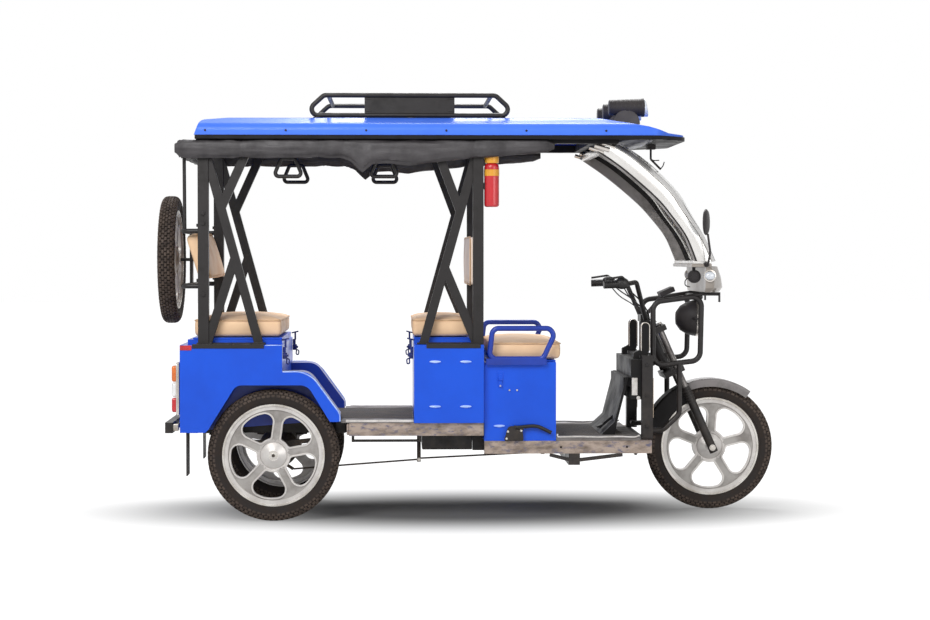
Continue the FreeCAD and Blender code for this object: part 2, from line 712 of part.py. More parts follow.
TAIL_Y = BODY_HALF - 35.0
TAIL_LOW, TAIL_HIGH = 483.0, 722.0
BUMPER_HOLES = 300.0
BUMPER_HOLE_R = 5.5


def tail_lamps():
    lamp = box(-452, REAR_BOX_BACK - GAP, TAIL_Y - 34, TAIL_Y + 30, TAIL_LOW, TAIL_HIGH)
    return both(lamp)


def rear_bumper():
    bar = box(-489, -455, -430, 430, 399, 447)
    for y in (-BUMPER_HOLES / 2, BUMPER_HOLES / 2):
        bar = bar.cut(rod((-500, y, 423), (-440, y, 423), BUMPER_HOLE_R))
    back = REAR_BOX_BACK - GAP
    stays = [box(-456, back, s * BEAM_Y - 15, s * BEAM_Y + 15, 412, 434) for s in (-1, 1)]
    return joined([bar] + stays)


def mud_flaps():
    flap = box(FLAP_X - 6, FLAP_X, 365, 475, 209, BODY_FOOT - GAP)
    return both(flap)


# Rear axle with its differential and motor, and the springs that carry the body

def rear_axle():
    stub = WHEEL_Y + 46
    pieces = [rod((0, -stub, AXLE_Z), (0, stub, AXLE_Z), AXLE_PIN_R),
              rod((0, -330, AXLE_Z), (0, 330, AXLE_Z), AXLE_R),
              rod((0, 60, AXLE_Z), (0, 215, AXLE_Z), 82)]
    casing = turned([(1, -70), (40, -70), (92, -30, 20), (92, 30, 20), (40, 70), (1, 70)])
    casing.translate(V(0, 0, AXLE_Z))
    pieces.append(casing)
    for s in (-1, 1):
        drum_face = s * (WHEEL_Y - HUB_HALF - GAP)
        pieces.append(rod((0, s * DRUM_Y, AXLE_Z), (0, drum_face, AXLE_Z), 74))
        y0, y1 = sorted((s * DRUM_Y, s * (DRUM_Y + 6)))
        pieces.append(strut((30, 262), BRAKE_LEVER_END, 14, y0, y1))
    return joined(pieces)


def leaf(half, drop):
    """One leaf: an arc of the spring's common curve, lower than the main leaf by its drop"""
    radius = (SPRING_HALF ** 2 + SPRING_SAG ** 2) / (2 * SPRING_SAG) + drop
    top = SPRING_LOW + LEAVES * LEAF_T - drop
    centre = V(0, 0, top + radius)
    y0, y1 = SPRING_Y - SPRING_W / 2, SPRING_Y + SPRING_W / 2
    corners = [V(0, y0, top), V(0, y1, top), V(0, y1, top - LEAF_T), V(0, y0, top - LEAF_T)]
    end = Part.Face(closed_wire(corners, [0] * 4))
    sweep = degrees(asin(half / radius))
    end.rotate(centre, V(0, 1, 0), -sweep)
    return end.revolve(centre, V(0, 1, 0), 2 * sweep)


def leaf_springs():
    leaves = [leaf(SPRING_HALF - 60 * i, LEAF_T * i) for i in range(LEAVES)]
    reach = SPRING_W / 2 + 6
    low = AXLE_Z + AXLE_R + GAP
    clamp = box(-30, 30, SPRING_Y - reach, SPRING_Y + reach, low, SPRING_LOW + LEAVES * LEAF_T + 8)
    return both(joined(leaves + [clamp]))


# Brake linkage: a hanging arm, the rods from it and the link to the rear right drum

DRUM_Y = 330.0
BRAKE_LEVER_END = (84.0, 226.0)
BRAKE_ARM_X = 658.0
BRAKE_PIN_Z = 262.0
BRAKE_ROD_R = 4.0
BRAKE_END_X = 1230.0


def brake_linkage():
    x, y, z = BRAKE_ARM_X, -BEAM_Y, BRAKE_PIN_Z
    rear_y = BRAKE_ROD_R + GAP - DRUM_Y
    front_y = y + 40
    end = (BRAKE_END_X, front_y, FRONT_RAIL_Z - 14)
    top = FRONT_RAIL_Z - GAP
    pieces = [rod((x, y, REAR_RAIL_Z - GAP), (x, y, z - 12), 9), rod((x, y - 20, z), (x, front_y + 10, z), 7),
              rod((x, y - 10, z), (BRAKE_LEVER_END[0], rear_y, BRAKE_LEVER_END[1]), BRAKE_ROD_R),
              rod((x, front_y, z), end, BRAKE_ROD_R),
              box(BRAKE_END_X - 8, BRAKE_END_X + 8, y - 10, front_y + 6, top - 20, top)]
    return joined(pieces)


def parking_lever():
    y0 = -DRIVER_BOX_HALF - 26
    y1 = -DRIVER_BOX_HALF - GAP
    sector = plate([(1040, 363, 8), (1130, 363, 8), (1122, 430, 20), (1060, 430, 20)], "xz", y0 + 6, y1)
    lever = strut((1085, 428), (1255, 395), 14, y0, y0 + 12)
    return joined([sector, lever])


def battery_and_controller():
    battery = box(652, 932, -330, 330, REAR_RAIL_TOP + GAP + SHEET, 690)
    control = box(672, 902, -300, 300, 310, REAR_RAIL_Z - GAP)
    return apart([battery, control])


# Front frame: leg posts, cage and steering head

LEG_BAR_TOP = 740.0
CAGE_Y = 230.0
CAGE_R = 12.5
NOSE_BAR_R = 8.0
NOSE_LOW = 1031.0
CAGE_LOOP = [(64, 690), (64, 985), (290, 1015), (283, 715)]  # x ahead of the leg posts, z
CAGE_STAY = [(187, 708), (187, 465), (111, 392), (25, 388)]
NOSE_BAR = [(183, 1006), (296, NOSE_LOW - GAP - NOSE_BAR_R), (375, NOSE_LOW - GAP - NOSE_BAR_R)]


def steer_axis(along, off=0.0):
    """Point (x, z) on the fork's line, measured up from the front axle, off to its front"""
    a = radians(FORK_RAKE)
    return (WHEELBASE - along * sin(a) + off * cos(a), AXLE_Z + along * cos(a) + off * sin(a))


HEAD_OFF = -40.0
HEAD_LOW, HEAD_HIGH = 420.0, 590.0
HEAD_BORE = 16.0


def ahead(table, y):
    """Points of a table measured from the leg posts, put at one Y"""
    return [(LEG_POST_X + x, y, z) for x, z in table]


def front_frame():
    post0, post1 = LEG_POST_X, LEG_POST_X + LEG_POST_W
    cage_back = LEG_POST_X + CAGE_LOOP[0][0]
    cage_front = LEG_POST_X + CAGE_LOOP[3][0]
    stay_end = LEG_POST_X + CAGE_STAY[3][0]
    bar_end = LEG_POST_X + NOSE_BAR[2][0]
    pieces = []
    for side in (-1, 1):
        y, c = side * LEG_POST_Y, side * CAGE_Y
        y0, y1 = y - LEG_POST_W / 2, y + LEG_POST_W / 2
        pieces.append(box(post0, post1, y0, y1, FRONT_RAIL_TOP + GAP, LEG_BAR_TOP + 3))
        pieces.append(hoop(ahead(CAGE_LOOP, c), CAGE_R, 45))
        pieces.append(pipe(ahead(CAGE_STAY, c), CAGE_R, 40))
        pieces.append(pipe(ahead(NOSE_BAR, c), NOSE_BAR_R, 60))
        pieces.append(box(bar_end - 6, bar_end, c - 14, c + 14, NOSE_LOW - 46, NOSE_LOW - GAP))
        pieces.append(rod((stay_end, y - side * 10, 388), (stay_end, c, 388), CAGE_R))
        pieces.append(rod((stay_end, y, 716), (cage_back, c, 716), CAGE_R))
    pieces.append(rod((cage_back, -CAGE_Y, 702), (cage_back, CAGE_Y, 702), CAGE_R))
    pieces.append(rod((cage_front, -CAGE_Y, 1008), (cage_front, CAGE_Y, 1008), CAGE_R))
    pieces.append(box(post0, post1, -LEG_POST_Y, LEG_POST_Y, LEG_BAR_TOP - 50, LEG_BAR_TOP))
    low, high = steer_axis(HEAD_LOW, HEAD_OFF), steer_axis(HEAD_HIGH, HEAD_OFF)
    head = rod((low[0], 0, low[1]), (high[0], 0, high[1]), 27)
    bore = rod((low[0], 0, low[1]), (high[0], 0, high[1]), HEAD_BORE)
    spine = box(post0 + 21, low[0] + 4, -18, 18, LEG_BAR_TOP - 40, LEG_BAR_TOP)
    return joined(pieces + [head, spine]).cut(bore)


SHIELD = [  # x from the leg posts, z
    (-68, 642), (-56, 642), (-109, 434), (-119, 376), (-184, 376), (-121, 434)]
POD = [  # x from the leg posts, z, corner radius
    (-30, 715, 0), (-30, 752, 8), (4, 768, 14), (4, 892, 18), (44, 892, 18), (44, 768, 14),
    (36, LEG_BAR_TOP + GAP, 0), (-4, LEG_BAR_TOP + GAP, 0), (-4, 715, 0)]
PEDAL_Y = -153.0


def leg_shield():
    x = LEG_POST_X
    panel = plate([(x + u, v) for u, v in SHIELD], "xz", -300, 300)
    console = box(x - 49, x - GAP, -330, 330, 541, 724)
    link = box(x - 79, x - 47, -290, 290, 600, 640)
    pods = [plate([(x + u, v, r) for u, v, r in POD], "xz", -270, -240)]
    pods.append(mirrored(pods[0]))
    arm = strut((x - 179, 398), (x - 113, 452), 12, PEDAL_Y - 6, PEDAL_Y + 6)
    foot = strut((x - 190, 402), (x - 162, 414), 8, PEDAL_Y - 34, PEDAL_Y + 34)
    return joined([panel, console, link, arm, foot] + pods)


# Windscreen: side bands, curved glass, base and nose

SCREEN_EDGE = [  # x front, z front, x back, z back, half width at that height; x from the leg posts
    (-158, 1706, -239, 1670, 402), (-42, 1633, -105, 1574, 390), (111, 1500, 37, 1454, 372),
    (184, 1399, 111, 1378, 360), (265, 1284, 177, 1290, 346), (318, 1175, 224, 1175, 334)]
BAND_T = 16.0
BASE_Z = 1150.0
GLASS_T = 4.0


def band_section(front, front_z, back, back_z, half):
    x0, x1 = LEG_POST_X + front, LEG_POST_X + back
    inner = half - BAND_T
    return closed_wire([V(x0, inner, front_z), V(x1, inner, back_z), V(x1, half, back_z),
                        V(x0, half, front_z)], [0, 0, 0, 0])


def windscreen_frame():
    side = Part.makeLoft([band_section(*row) for row in SCREEN_EDGE], True, False)
    front, top, back, _, low_half = SCREEN_EDGE[-1]
    base = box(LEG_POST_X + back - 10, LEG_POST_X + front, -low_half, low_half, BASE_Z, top)
    inner = SCREEN_EDGE[0][4] - BAND_T + 1
    header = box(LEG_POST_X - 217, LEG_POST_X - 181, -inner, inner, 1664, 1690)
    return joined([side, mirrored(side), base, header])


GLASS_OFF = 1.0
GLASS_BULGE = (120.0, 108.0, 88.0, 76.0, 62.0, 58.0)  # middle ahead of the sides, at each height


def glass_section(x, z, half, bulge):
    def arc(offset):
        side = x + offset
        return Part.Arc(V(side, -half, z), V(side + bulge, 0, z), V(side, half, z)).toShape()
    front, back = arc(GLASS_T), arc(0)
    ends = [Part.LineSegment(V(x, s * half, z), V(x + GLASS_T, s * half, z)).toShape() for s in (-1, 1)]
    return Part.Wire(Part.sortEdges([front, back] + ends)[0])


def windscreen():
    rows = [glass_section(LEG_POST_X + edge[0] + GLASS_OFF, edge[1], edge[4], bulge)
            for edge, bulge in zip(SCREEN_EDGE, GLASS_BULGE)]
    return Part.makeLoft(rows, True, False)


NOSE_BACK = LEG_POST_X + 295.0
NOSE_T = 4.0
NOSE = [  # z, x at the side, x at the middle, half width; x from the back of the nose
    (BASE_Z - GAP, 26, 92, 330), (1100, 38, 110, 330), (1052, 40, 118, 318), (NOSE_LOW, 26, 104, 290)]


def nose_section(z, at_side, at_middle, half):
    side, middle = NOSE_BACK + at_side, NOSE_BACK + at_middle
    arc = Part.Arc(V(side, -half, z), V(middle, 0, z), V(side, half, z)).toShape()
    corners = [V(side, half, z), V(NOSE_BACK, half, z), V(NOSE_BACK, -half, z), V(side, -half, z)]
    lines = [Part.LineSegment(corners[i], corners[i + 1]).toShape() for i in range(3)]
    return Part.Wire([arc] + lines)


def nose_fairing():
    outer = Part.makeLoft([nose_section(*row) for row in NOSE], True, True)
    z0 = NOSE[-1][0]
    t = NOSE_T
    room = Part.makeLoft([nose_section(z, side - t, middle - t, half - t) for z, side, middle, half in NOSE],
                         True, True)
    deep = room.BoundBox
    room = room.common(box(NOSE_BACK + t, deep.XMax, deep.YMin, deep.YMax, z0 + t, deep.ZMax))
    return outer.cut(room)


HORN_X, HORN_Z = LEG_POST_X + 247.0, 1104.0
HORN_R = 30.0


def horn_and_indicators():
    x, z = HORN_X, HORN_Z
    horn = rod((x, -304, z), (x, -262, z), HORN_R)
    strap = box(x - 8, x + 8, -276, -272, z + HORN_R - 4, BASE_Z - GAP)
    half = NOSE[0][3]
    lamp_x = NOSE_BACK + 22
    lamps = [rod((lamp_x, s * (half + GAP), 1112), (lamp_x, s * (half + 22), 1112), 20) for s in (-1, 1)]
    return apart([joined([horn, strap])] + lamps)


HEADLAMP_X = LEG_POST_X + 246.0


def headlamp():
    bucket = turned([(0, -46), (30, -46, 10), (84, 40, 8), (84, 60), (0, 60)])
    bucket.rotate(V(0, 0, 0), V(0, 0, 1), -90)
    x, z = HEADLAMP_X, 905
    bucket.translate(V(x, 0, z))
    reach = CAGE_Y - CAGE_R - GAP
    arms = [rod((x + 25, s * 66, z), (x + 41, s * reach, z), 6) for s in (-1, 1)]
    return joined([bucket] + arms)


MIRROR_X, MIRROR_Y = LEG_POST_X + 296.0, 385.0
WIPER_X = LEG_POST_X + 79.0


def mirrors():
    half = SCREEN_EDGE[-1][4]
    x, y = MIRROR_X, MIRROR_Y
    stem = pipe([(x, half + GAP, 1162), (x, y, 1162), (x + 9, y, 1215), (x - 7, y, 1330)], 5, 12)
    y0, y1 = y - 65, y + 65
    head = plate([(y0, 1294, 50), (y1, 1294, 50), (y1, 1412, 50), (y0, 1412, 50)], "yz", x - 18, x + 4)
    return both(joined([stem, head]))


def wiper():
    x = WIPER_X
    motor = box(x - 20, x + 20, -28, 28, 1702, RIM_Z - GAP)
    arm = pipe([(x, 0, 1706), (x, 0, 1656), (x + 48, 0, 1608)], 5, 14)
    return joined([motor, arm])


def fire_extinguisher():
    x, y = 986.0, POST / 2 - 1 - POST_HALF
    bottle = rod((x, y, 1420), (x, y, 1620), 34)
    neck = rod((x, y, 1618), (x, y, 1668), 14)
    clamp = box(949 + GAP, x, y - 12, y + 12, 1500, 1530)
    return joined([bottle, neck, clamp])


# Steering: yokes, fork legs, stem and handlebar

LEG_Y = 100.0
LEG_R = 20.0
STEM_TOP = HEAD_HIGH + 50


def fork():
    pieces = []
    axle = steer_axis(0)
    for side in (-1, 1):
        y = side * LEG_Y
        top, knee, end = steer_axis(632), steer_axis(312), steer_axis(-24)
        pieces.append(rod((top[0], y, top[1]), (knee[0], y, knee[1]), 15))
        pieces.append(rod((knee[0], y, knee[1]), (end[0], y, end[1]), LEG_R))
        pieces.append(rod((axle[0], side * (HUB_HALF + GAP), axle[1]), (axle[0], y, axle[1]), 14))
    for along in (HEAD_LOW - 34, HEAD_HIGH + 6):
        yoke = box(-70, 30, -LEG_Y - 24, LEG_Y + 24, 0, 26)
        yoke.rotate(V(0, 0, 0), V(0, 1, 0), -FORK_RAKE)
        x, z = steer_axis(along)
        yoke.translate(V(x, 0, z))
        pieces.append(yoke)
    low, high = steer_axis(HEAD_LOW - 20, HEAD_OFF), steer_axis(STEM_TOP, HEAD_OFF)
    pieces.append(rod((low[0], 0, low[1]), (high[0], 0, high[1]), HEAD_BORE - GAP))
    pieces.append(rod((axle[0], -LEG_Y, axle[1]), (axle[0], LEG_Y, axle[1]), AXLE_PIN_R))
    return joined(pieces)


BAR_R = 11.0
BAR_SIDE = [(-174, 318, 1066), (-67, 305, 1070), (-15, 240, 1078)]  # x from the leg posts, y, z
LEVER = [(-62, 308, 1078), (-92, 340, 1104), (-170, 352, 1092)]
GRIP_R, SWITCH_R, LEVER_R = 16.5, 21.0, 5.0


def between(start, end, share):
    """Point at a share of the way between two others"""
    return tuple(a + (b - a) * share for a, b in zip(start, end))


def handlebar():
    (x0, z0), (x1, z1) = steer_axis(STEM_TOP + GAP, HEAD_OFF), steer_axis(STEM_TOP + 42, HEAD_OFF)
    pieces = [rod((x0, 0, z0), (x1, 0, z1), 22), box(x1 - 20, x1 + 20, -60, 60, z1 - 16, z1 + 16)]
    side = [(LEG_POST_X + x, y, z) for x, y, z in BAR_SIDE]
    bar = side + [(x1, 90, z1)]
    pieces.append(pipe(bar + [(x, -y, z) for x, y, z in bar[::-1]], BAR_R, 30))
    end, knee = side[0], side[1]
    switch, root = between(end, knee, 0.72), between(end, knee, 0.96)
    lever = pipe([(LEG_POST_X + x, y, z) for x, y, z in LEVER], LEVER_R, 12)
    controls = joined([rod(end, switch, GRIP_R), rod(switch, root, SWITCH_R), lever])
    return joined(pieces + [controls, mirrored(controls)])


MUD_R = TYRE_R + 20
MUD_T = 3.0
MUD_HALF = 58.0
MUD_LIP = 36.0
MUD_FLAP = 82.0
MUD_FRONT, MUD_BREAK, MUD_REAR = 36.0, -26.0, -76.0  # degrees from upright, forwards positive


def wedge(start, end):
    """Sector of a disc about the wheel's axis, between two angles from upright"""
    far = 2 * MUD_R
    middle = (start + end) / 2
    rays = [(far * sin(radians(a)), far * cos(radians(a))) for a in (start, middle, end)]
    return plate([(0, 0)] + rays, "xz", -TYRE_W, TYRE_W)


def mud_sector(depth, start, end):
    """Mudguard crown with a side skirt of some depth, between two angles"""
    low, high = MUD_R - depth, MUD_R + MUD_T
    inner = MUD_HALF - MUD_T
    profile = [(low, -MUD_HALF), (high, -MUD_HALF, 12), (high, MUD_HALF, 12), (low, MUD_HALF), (low, inner),
               (MUD_R, inner, 9), (MUD_R, -inner, 9), (low, -inner)]
    return turned(profile).common(wedge(start, end))


def front_mudguard():
    shell = joined([mud_sector(MUD_LIP, MUD_FRONT, MUD_BREAK), mud_sector(MUD_FLAP, MUD_BREAK, MUD_REAR)])
    shell.translate(V(WHEELBASE, 0, AXLE_Z))
    x, z = steer_axis(MUD_R - 22)
    start, end = MUD_HALF - MUD_T, LEG_Y - LEG_R - GAP
    lugs = [rod((x, s * start, z), (x, s * end, z), 12) for s in (-1, 1)]
    return joined([shell] + lugs)


# Lids and cushions

def lid(x0, x1, half, z):
    return box(x0, x1, -half, half, z, z + LID_T)


REAR_LID = (-365.0, 38.0)
MIDDLE_LID = (634.0, 896.0)
DRIVER_LID = (962.0, 1277.0)

NODES = {
    "side_rails": side_rails,
    "chassis_frame": chassis_frame,
    "floor_pans": floor_pans,
    "rear_body": rear_body,
    "middle_seat_box": middle_seat_box,
    "driver_seat_box": driver_seat_box,
    "armrests": armrests,
    "pillar_frames_right": pillar_frames,
    "pillar_frames_left": lambda: mirrored(pillar_frames()),
    "roof_frame": roof_frame,
    "roof_shell": roof_shell,
    "luggage_rack": luggage_rack,
    "roof_lamps": roof_lamps,
    "rolled_curtains": rolled_curtains,
    "grab_handles": grab_handles,
    "rear_backrest": rear_backrest,
    "middle_backrest": middle_backrest,
    "spare_tyre": lambda: spare(tyre()),
    "spare_rim": lambda: spare(rim(36, HUB_R)),
    "spare_carrier": spare_carrier,
    "tail_lamps": tail_lamps,
    "rear_bumper": rear_bumper,
    "mud_flaps": mud_flaps,
    "rear_axle": rear_axle,
    "leaf_springs": leaf_springs,
    "brake_linkage": brake_linkage,
    "parking_lever": parking_lever,
    "battery_and_controller": battery_and_controller,
    "front_frame": front_frame,
    "leg_shield": leg_shield,
    "windscreen_frame": windscreen_frame,
    "windscreen": windscreen,
    "nose_fairing": nose_fairing,
    "horn_and_indicators": horn_and_indicators,
    "headlamp": headlamp,
    "mirrors": mirrors,
    "wiper": wiper,
    "fire_extinguisher": fire_extinguisher,
    "fork": fork,
    "handlebar": handlebar,
    "front_mudguard": front_mudguard,
    "front_tyre": lambda: placed(tyre(), WHEELBASE, 0, AXLE_Z),
    "front_rim": lambda: placed(rim(HUB_HALF, 78), WHEELBASE, 0, AXLE_Z, -14),
    "rear_tyre_right": lambda: placed(tyre(), 0, -WHEEL_Y, AXLE_Z),
    "rear_rim_right": lambda: placed(rim(HUB_HALF, HUB_R), 0, -WHEEL_Y, AXLE_Z, -10),
    "rear_tyre_left": lambda: placed(tyre(), 0, WHEEL_Y, AXLE_Z, 0, True),
    "rear_rim_left": lambda: placed(rim(HUB_HALF, HUB_R), 0, WHEEL_Y, AXLE_Z, -10, True),
    "rear_seat_lid": lambda: lid(*REAR_LID, LID_HALF, LID_Z),
    "rear_cushion": lambda: pad(*REAR_LID, LID_HALF, CUSHION_Z, CUSHION_Z + CUSHION_T, CUSHION_R),
    "middle_seat_lid": lambda: lid(*MIDDLE_LID, LID_HALF, LID_Z),
    "middle_cushion": lambda: pad(621, 896, LID_HALF, CUSHION_Z, CUSHION_Z + CUSHION_T, CUSHION_R),
    "driver_seat_lid": lambda: lid(*DRIVER_LID, DRIVER_SEAT_HALF, DRIVER_LID_Z),
    "driver_cushion": lambda: pad(974, 1306, DRIVER_SEAT_HALF, DRIVER_LID_Z + LID_T,
                                  DRIVER_LID_Z + LID_T + DRIVER_CUSHION_T, CUSHION_R),
}

# The spare wheel's back and the front tyre's front are the vehicle's two ends
CENTRE_X = (SPARE_X - TYRE_W / 2 + WHEELBASE + TYRE_R) / 2

os.makedirs("parts", exist_ok=True)
for node, make in NODES.items():
    shape = make()
    shape.translate(V(-CENTRE_X, 0, 0))
    shape.exportStep("parts/" + node + ".step")
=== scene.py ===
import bmesh
import bpy
from math import cos, pi, radians, sin
from mathutils import Matrix, Vector, noise


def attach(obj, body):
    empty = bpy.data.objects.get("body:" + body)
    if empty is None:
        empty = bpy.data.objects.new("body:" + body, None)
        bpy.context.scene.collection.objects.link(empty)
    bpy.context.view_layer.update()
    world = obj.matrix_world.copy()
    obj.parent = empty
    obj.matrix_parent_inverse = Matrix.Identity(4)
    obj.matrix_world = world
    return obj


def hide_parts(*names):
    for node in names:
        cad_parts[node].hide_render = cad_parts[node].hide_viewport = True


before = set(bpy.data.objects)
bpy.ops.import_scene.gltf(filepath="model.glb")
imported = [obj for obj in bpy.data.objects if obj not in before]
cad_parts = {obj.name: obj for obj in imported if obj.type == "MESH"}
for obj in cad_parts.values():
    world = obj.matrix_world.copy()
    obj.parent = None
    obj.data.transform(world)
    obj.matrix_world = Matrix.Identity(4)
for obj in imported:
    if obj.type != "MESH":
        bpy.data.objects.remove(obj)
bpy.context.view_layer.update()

scene = bpy.context.scene


# Side rails: galvanised rectangular tube along the edge of both floors.
# Hot-dip zinc gone brown, with blue and purple stains where it was heated and scuffed.

REAR_AXLE = -0.898
FRONT_AXLE_X, WHEEL_Y, AXLE_Z = 2038, 418, 299  # mm, as all the numbers below that go through at()
BODY_HALF, DRIVER_BOX_HALF = 490, 452
SIDES = (-1, 1)
AHEAD, ACROSS, UP = (1, 0, 0), (0, 1, 0), (0, 0, 1)
TOUCHING = 2e-5


def at(x, y, z):
    """Point in metres from millimetres measured at the rear axle"""
    return Vector((REAR_AXLE + x / 1000, y / 1000, z / 1000))


AXLE_POINT = at(0, 0, 0)


def tone(red, green, blue):
    """Linear colour of a tone given as it looks, 0 to 255"""
    steps = [c / 255 for c in (red, green, blue)]
    return [((c + 0.055) / 1.055) ** 2.4 if c > 0.04 else c / 12.92 for c in steps] + [1]


def preset(node, values):
    """The shader node itself, with values set for its inputs"""
    for socket, value in values.items():
        node.inputs[socket].default_value = value
    return node


def spread(tree, value, low=0.0, high=1.0, to_low=0.0, to_high=1.0, kind="LINEAR"):
    """Value taken from one range to another"""
    node = preset(tree.nodes.new("ShaderNodeMapRange"),
                  {"From Min": low, "From Max": high, "To Min": to_low, "To Max": to_high})
    node.interpolation_type = kind
    tree.links.new(value, node.inputs["Value"])
    return node.outputs["Result"]


def reckoned(tree, operation, first, second):
    """Product, or larger one, of two values"""
    node = tree.nodes.new("ShaderNodeMath")
    node.operation = operation
    tree.links.new(first, node.inputs[0])
    tree.links.new(second, node.inputs[1])
    return node.outputs["Value"]


def uneven(tree, place, scale, low, high, detail=6):
    """Share from 0 to 1 in soft patches of one scale, with the noise between low and high spread out"""
    patches = preset(tree.nodes.new("ShaderNodeTexNoise"),
                     {"Scale": scale, "Detail": detail, "Roughness": 0.62})
    tree.links.new(place, patches.inputs["Vector"])
    return spread(tree, patches.outputs["Fac"], low, high)


def blended(tree, share, below, above):
    """Colour that goes from one to another with a share; each is a colour or a socket"""
    mix = tree.nodes.new("ShaderNodeMix")
    mix.data_type = "RGBA"
    tree.links.new(share, mix.inputs[0])
    for socket, colour in ((mix.inputs[6], below), (mix.inputs[7], above)):
        if isinstance(colour, bpy.types.NodeSocket):
            tree.links.new(colour, socket)
        else:
            socket.default_value = colour
    return mix.outputs[2]


DUST = tone(150, 130, 110)
DUST_TOP = 0.75  # height up to which road dust lies (m)
WORN, STAINED, DUSTY = (0.3, 0.58), (0.52, 0.66), (0.35, 0.7)  # noise from which each patch begins and is full


def finish(name, main, worn, rough, metal=0.0, coat=0.0, shine=0.3, patch=9.0, grain=500.0, relief=0.15,
           stain=None, stretch=(1, 1, 1), dust=0.0):
    """Material of two tones in uneven patches, with stains, road dust low down and a fine grain"""
    material = bpy.data.materials.new(name)
    material.use_nodes = True
    tree = material.node_tree
    shader = preset(tree.nodes["Principled BSDF"], {
        "Metallic": metal, "Specular IOR Level": shine, "Coat Weight": coat, "Coat Roughness": 0.1})
    origin = tree.nodes.new("ShaderNodeTexCoord").outputs["Object"]
    fitted = preset(tree.nodes.new("ShaderNodeMapping"), {"Scale": stretch})
    tree.links.new(origin, fitted.inputs["Vector"])
    place = fitted.outputs["Vector"]
    share = uneven(tree, place, patch, *WORN)
    colour = blended(tree, share, tone(*worn), tone(*main))
    if stain:
        colour = blended(tree, uneven(tree, place, patch * 2.3, *STAINED), colour, tone(*stain))
    if dust:
        height = tree.nodes.new("ShaderNodeSeparateXYZ")
        tree.links.new(origin, height.inputs["Vector"])
        low = spread(tree, height.outputs["Z"], DUST_TOP, 0.0, to_high=dust)
        lain = reckoned(tree, "MULTIPLY", low, uneven(tree, place, patch * 1.7, *DUSTY))
        colour = blended(tree, lain, colour, DUST)
    tree.links.new(colour, shader.inputs["Base Color"])
    dull = spread(tree, share, to_low=min(1.0, rough * 1.35), to_high=rough * 0.85)
    tree.links.new(dull, shader.inputs["Roughness"])
    bump = preset(tree.nodes.new("ShaderNodeBump"), {"Strength": relief, "Distance": 0.0006})
    tree.links.new(uneven(tree, place, grain, 0.2, 0.8, 3), bump.inputs["Height"])
    tree.links.new(bump.outputs["Normal"], shader.inputs["Normal"])
    return material


def mesh_of(name, form):
    """Mesh from a form, which is freed"""
    data = bpy.data.meshes.new(name)
    form.to_mesh(data)
    form.free()
    return data


def linked(name, data):
    """Object in the scene for a mesh, lamp or camera"""
    piece = bpy.data.objects.new(name, data)
    scene.collection.objects.link(piece)
    return piece


def add(form, part):
    """Put one form into another and free it"""
    data = mesh_of("part", part)
    form.from_mesh(data)
    bpy.data.meshes.remove(data)


def made(name, form, material, body="root", instead=(), crease=32):
    """Object from a form, smooth between its creases, that rides on a body"""
    data = mesh_of(name, form)
    data.shade_smooth()
    data.set_sharp_from_angle(angle=radians(crease))
    data.materials.append(material)
    piece = linked(name, data)
    even = piece.modifiers.new("even_faces", "WEIGHTED_NORMAL")
    even.keep_sharp = True
    even.weight = 90
    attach(piece, body)
    if instead:
        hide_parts(*instead)
    return piece


def eased(form, edges, width, steps):
    """Round off edges over a width (mm)"""
    bmesh.ops.bevel(form, geom=list(edges), offset=width / 1000, segments=steps, profile=0.5, affect="EDGES",
                    material=-1, clamp_overlap=True)


def cut_off(form, place, way, ahead):
    """Take away what lies ahead of a plane, or else behind it, and give the edges left open"""
    whole = form.verts[:] + form.edges[:] + form.faces[:]
    new = bmesh.ops.bisect_plane(form, geom=whole, plane_co=at(*place), plane_no=way, clear_outer=ahead,
                                 clear_inner=not ahead)["geom_cut"]
    return [e for e in new if isinstance(e, bmesh.types.BMEdge)]


def rounded(node, width, material, body="root", fold=40, flats=True):
    """A frame piece with its edges rounded, in place of the plain one"""
    form = bmesh.new()
    form.from_mesh(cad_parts[node].data)
    bmesh.ops.remove_doubles(form, verts=form.verts, dist=TOUCHING)
    if flats:
        bmesh.ops.dissolve_limit(form, angle_limit=radians(0.6), verts=form.verts, edges=form.edges)
    edges = [e for e in form.edges if len(e.link_faces) == 2 and e.calc_face_angle() > radians(fold)]
    if width:
        eased(form, edges, width, 2)
    return made(node + "_finished", form, material, body, [node])


def block(form, x0, x1, y0, y1, z0, z1, edge=1.5, steps=2):
    """Box (mm) with eased edges"""
    size = Vector((x1 - x0, abs(y1 - y0), z1 - z0)) / 1000
    middle = at((x0 + x1) / 2, (y0 + y1) / 2, (z0 + z1) / 2)
    new = bmesh.ops.create_cube(form, size=1, matrix=Matrix.LocRotScale(middle, None, size))
    eased(form, {e for v in new["verts"] for e in v.link_edges}, edge, steps)


def paired(name, material, *boxes):
    """Piece of blocks that stand on both sides"""
    form = bmesh.new()
    for s in SIDES:
        for x0, x1, y0, y1, z0, z1, *shape in boxes:
            block(form, x0, x1, s * y0, s * y1, z0, z1, *shape)
    made(name, form, material)


zinc = finish("galvanised_rail", (168, 152, 140), (100, 88, 78), 0.5, metal=0.25, patch=22, relief=0.3,
              stain=(100, 98, 116), stretch=(0.55, 1, 1.3))
rounded("side_rails", 2.2, zinc)
paired("rail_end_caps", zinc, (330, 342, 470, 436, 391, 443, 6, 3))


# Chassis beams, pillars, roof frame and front cage: welded steel tube.
# All of it is brush painted in one satin black that has dulled to brown.

black = finish("black_frame_paint", (34, 31, 31), (25, 22, 21), 0.45, coat=0.05, patch=16, relief=0.3,
               dust=0.15)
rounded("chassis_frame", 2, black)
for side in ("right", "left"):
    rounded("pillar_frames_" + side, 2, black)
rounded("roof_frame", 1.5, finish("roof_frame_black", (19, 18, 22), (14, 13, 15), 0.5, shine=0.15,
                                  patch=12, relief=0.2))
rounded("front_frame", 1.2, black)


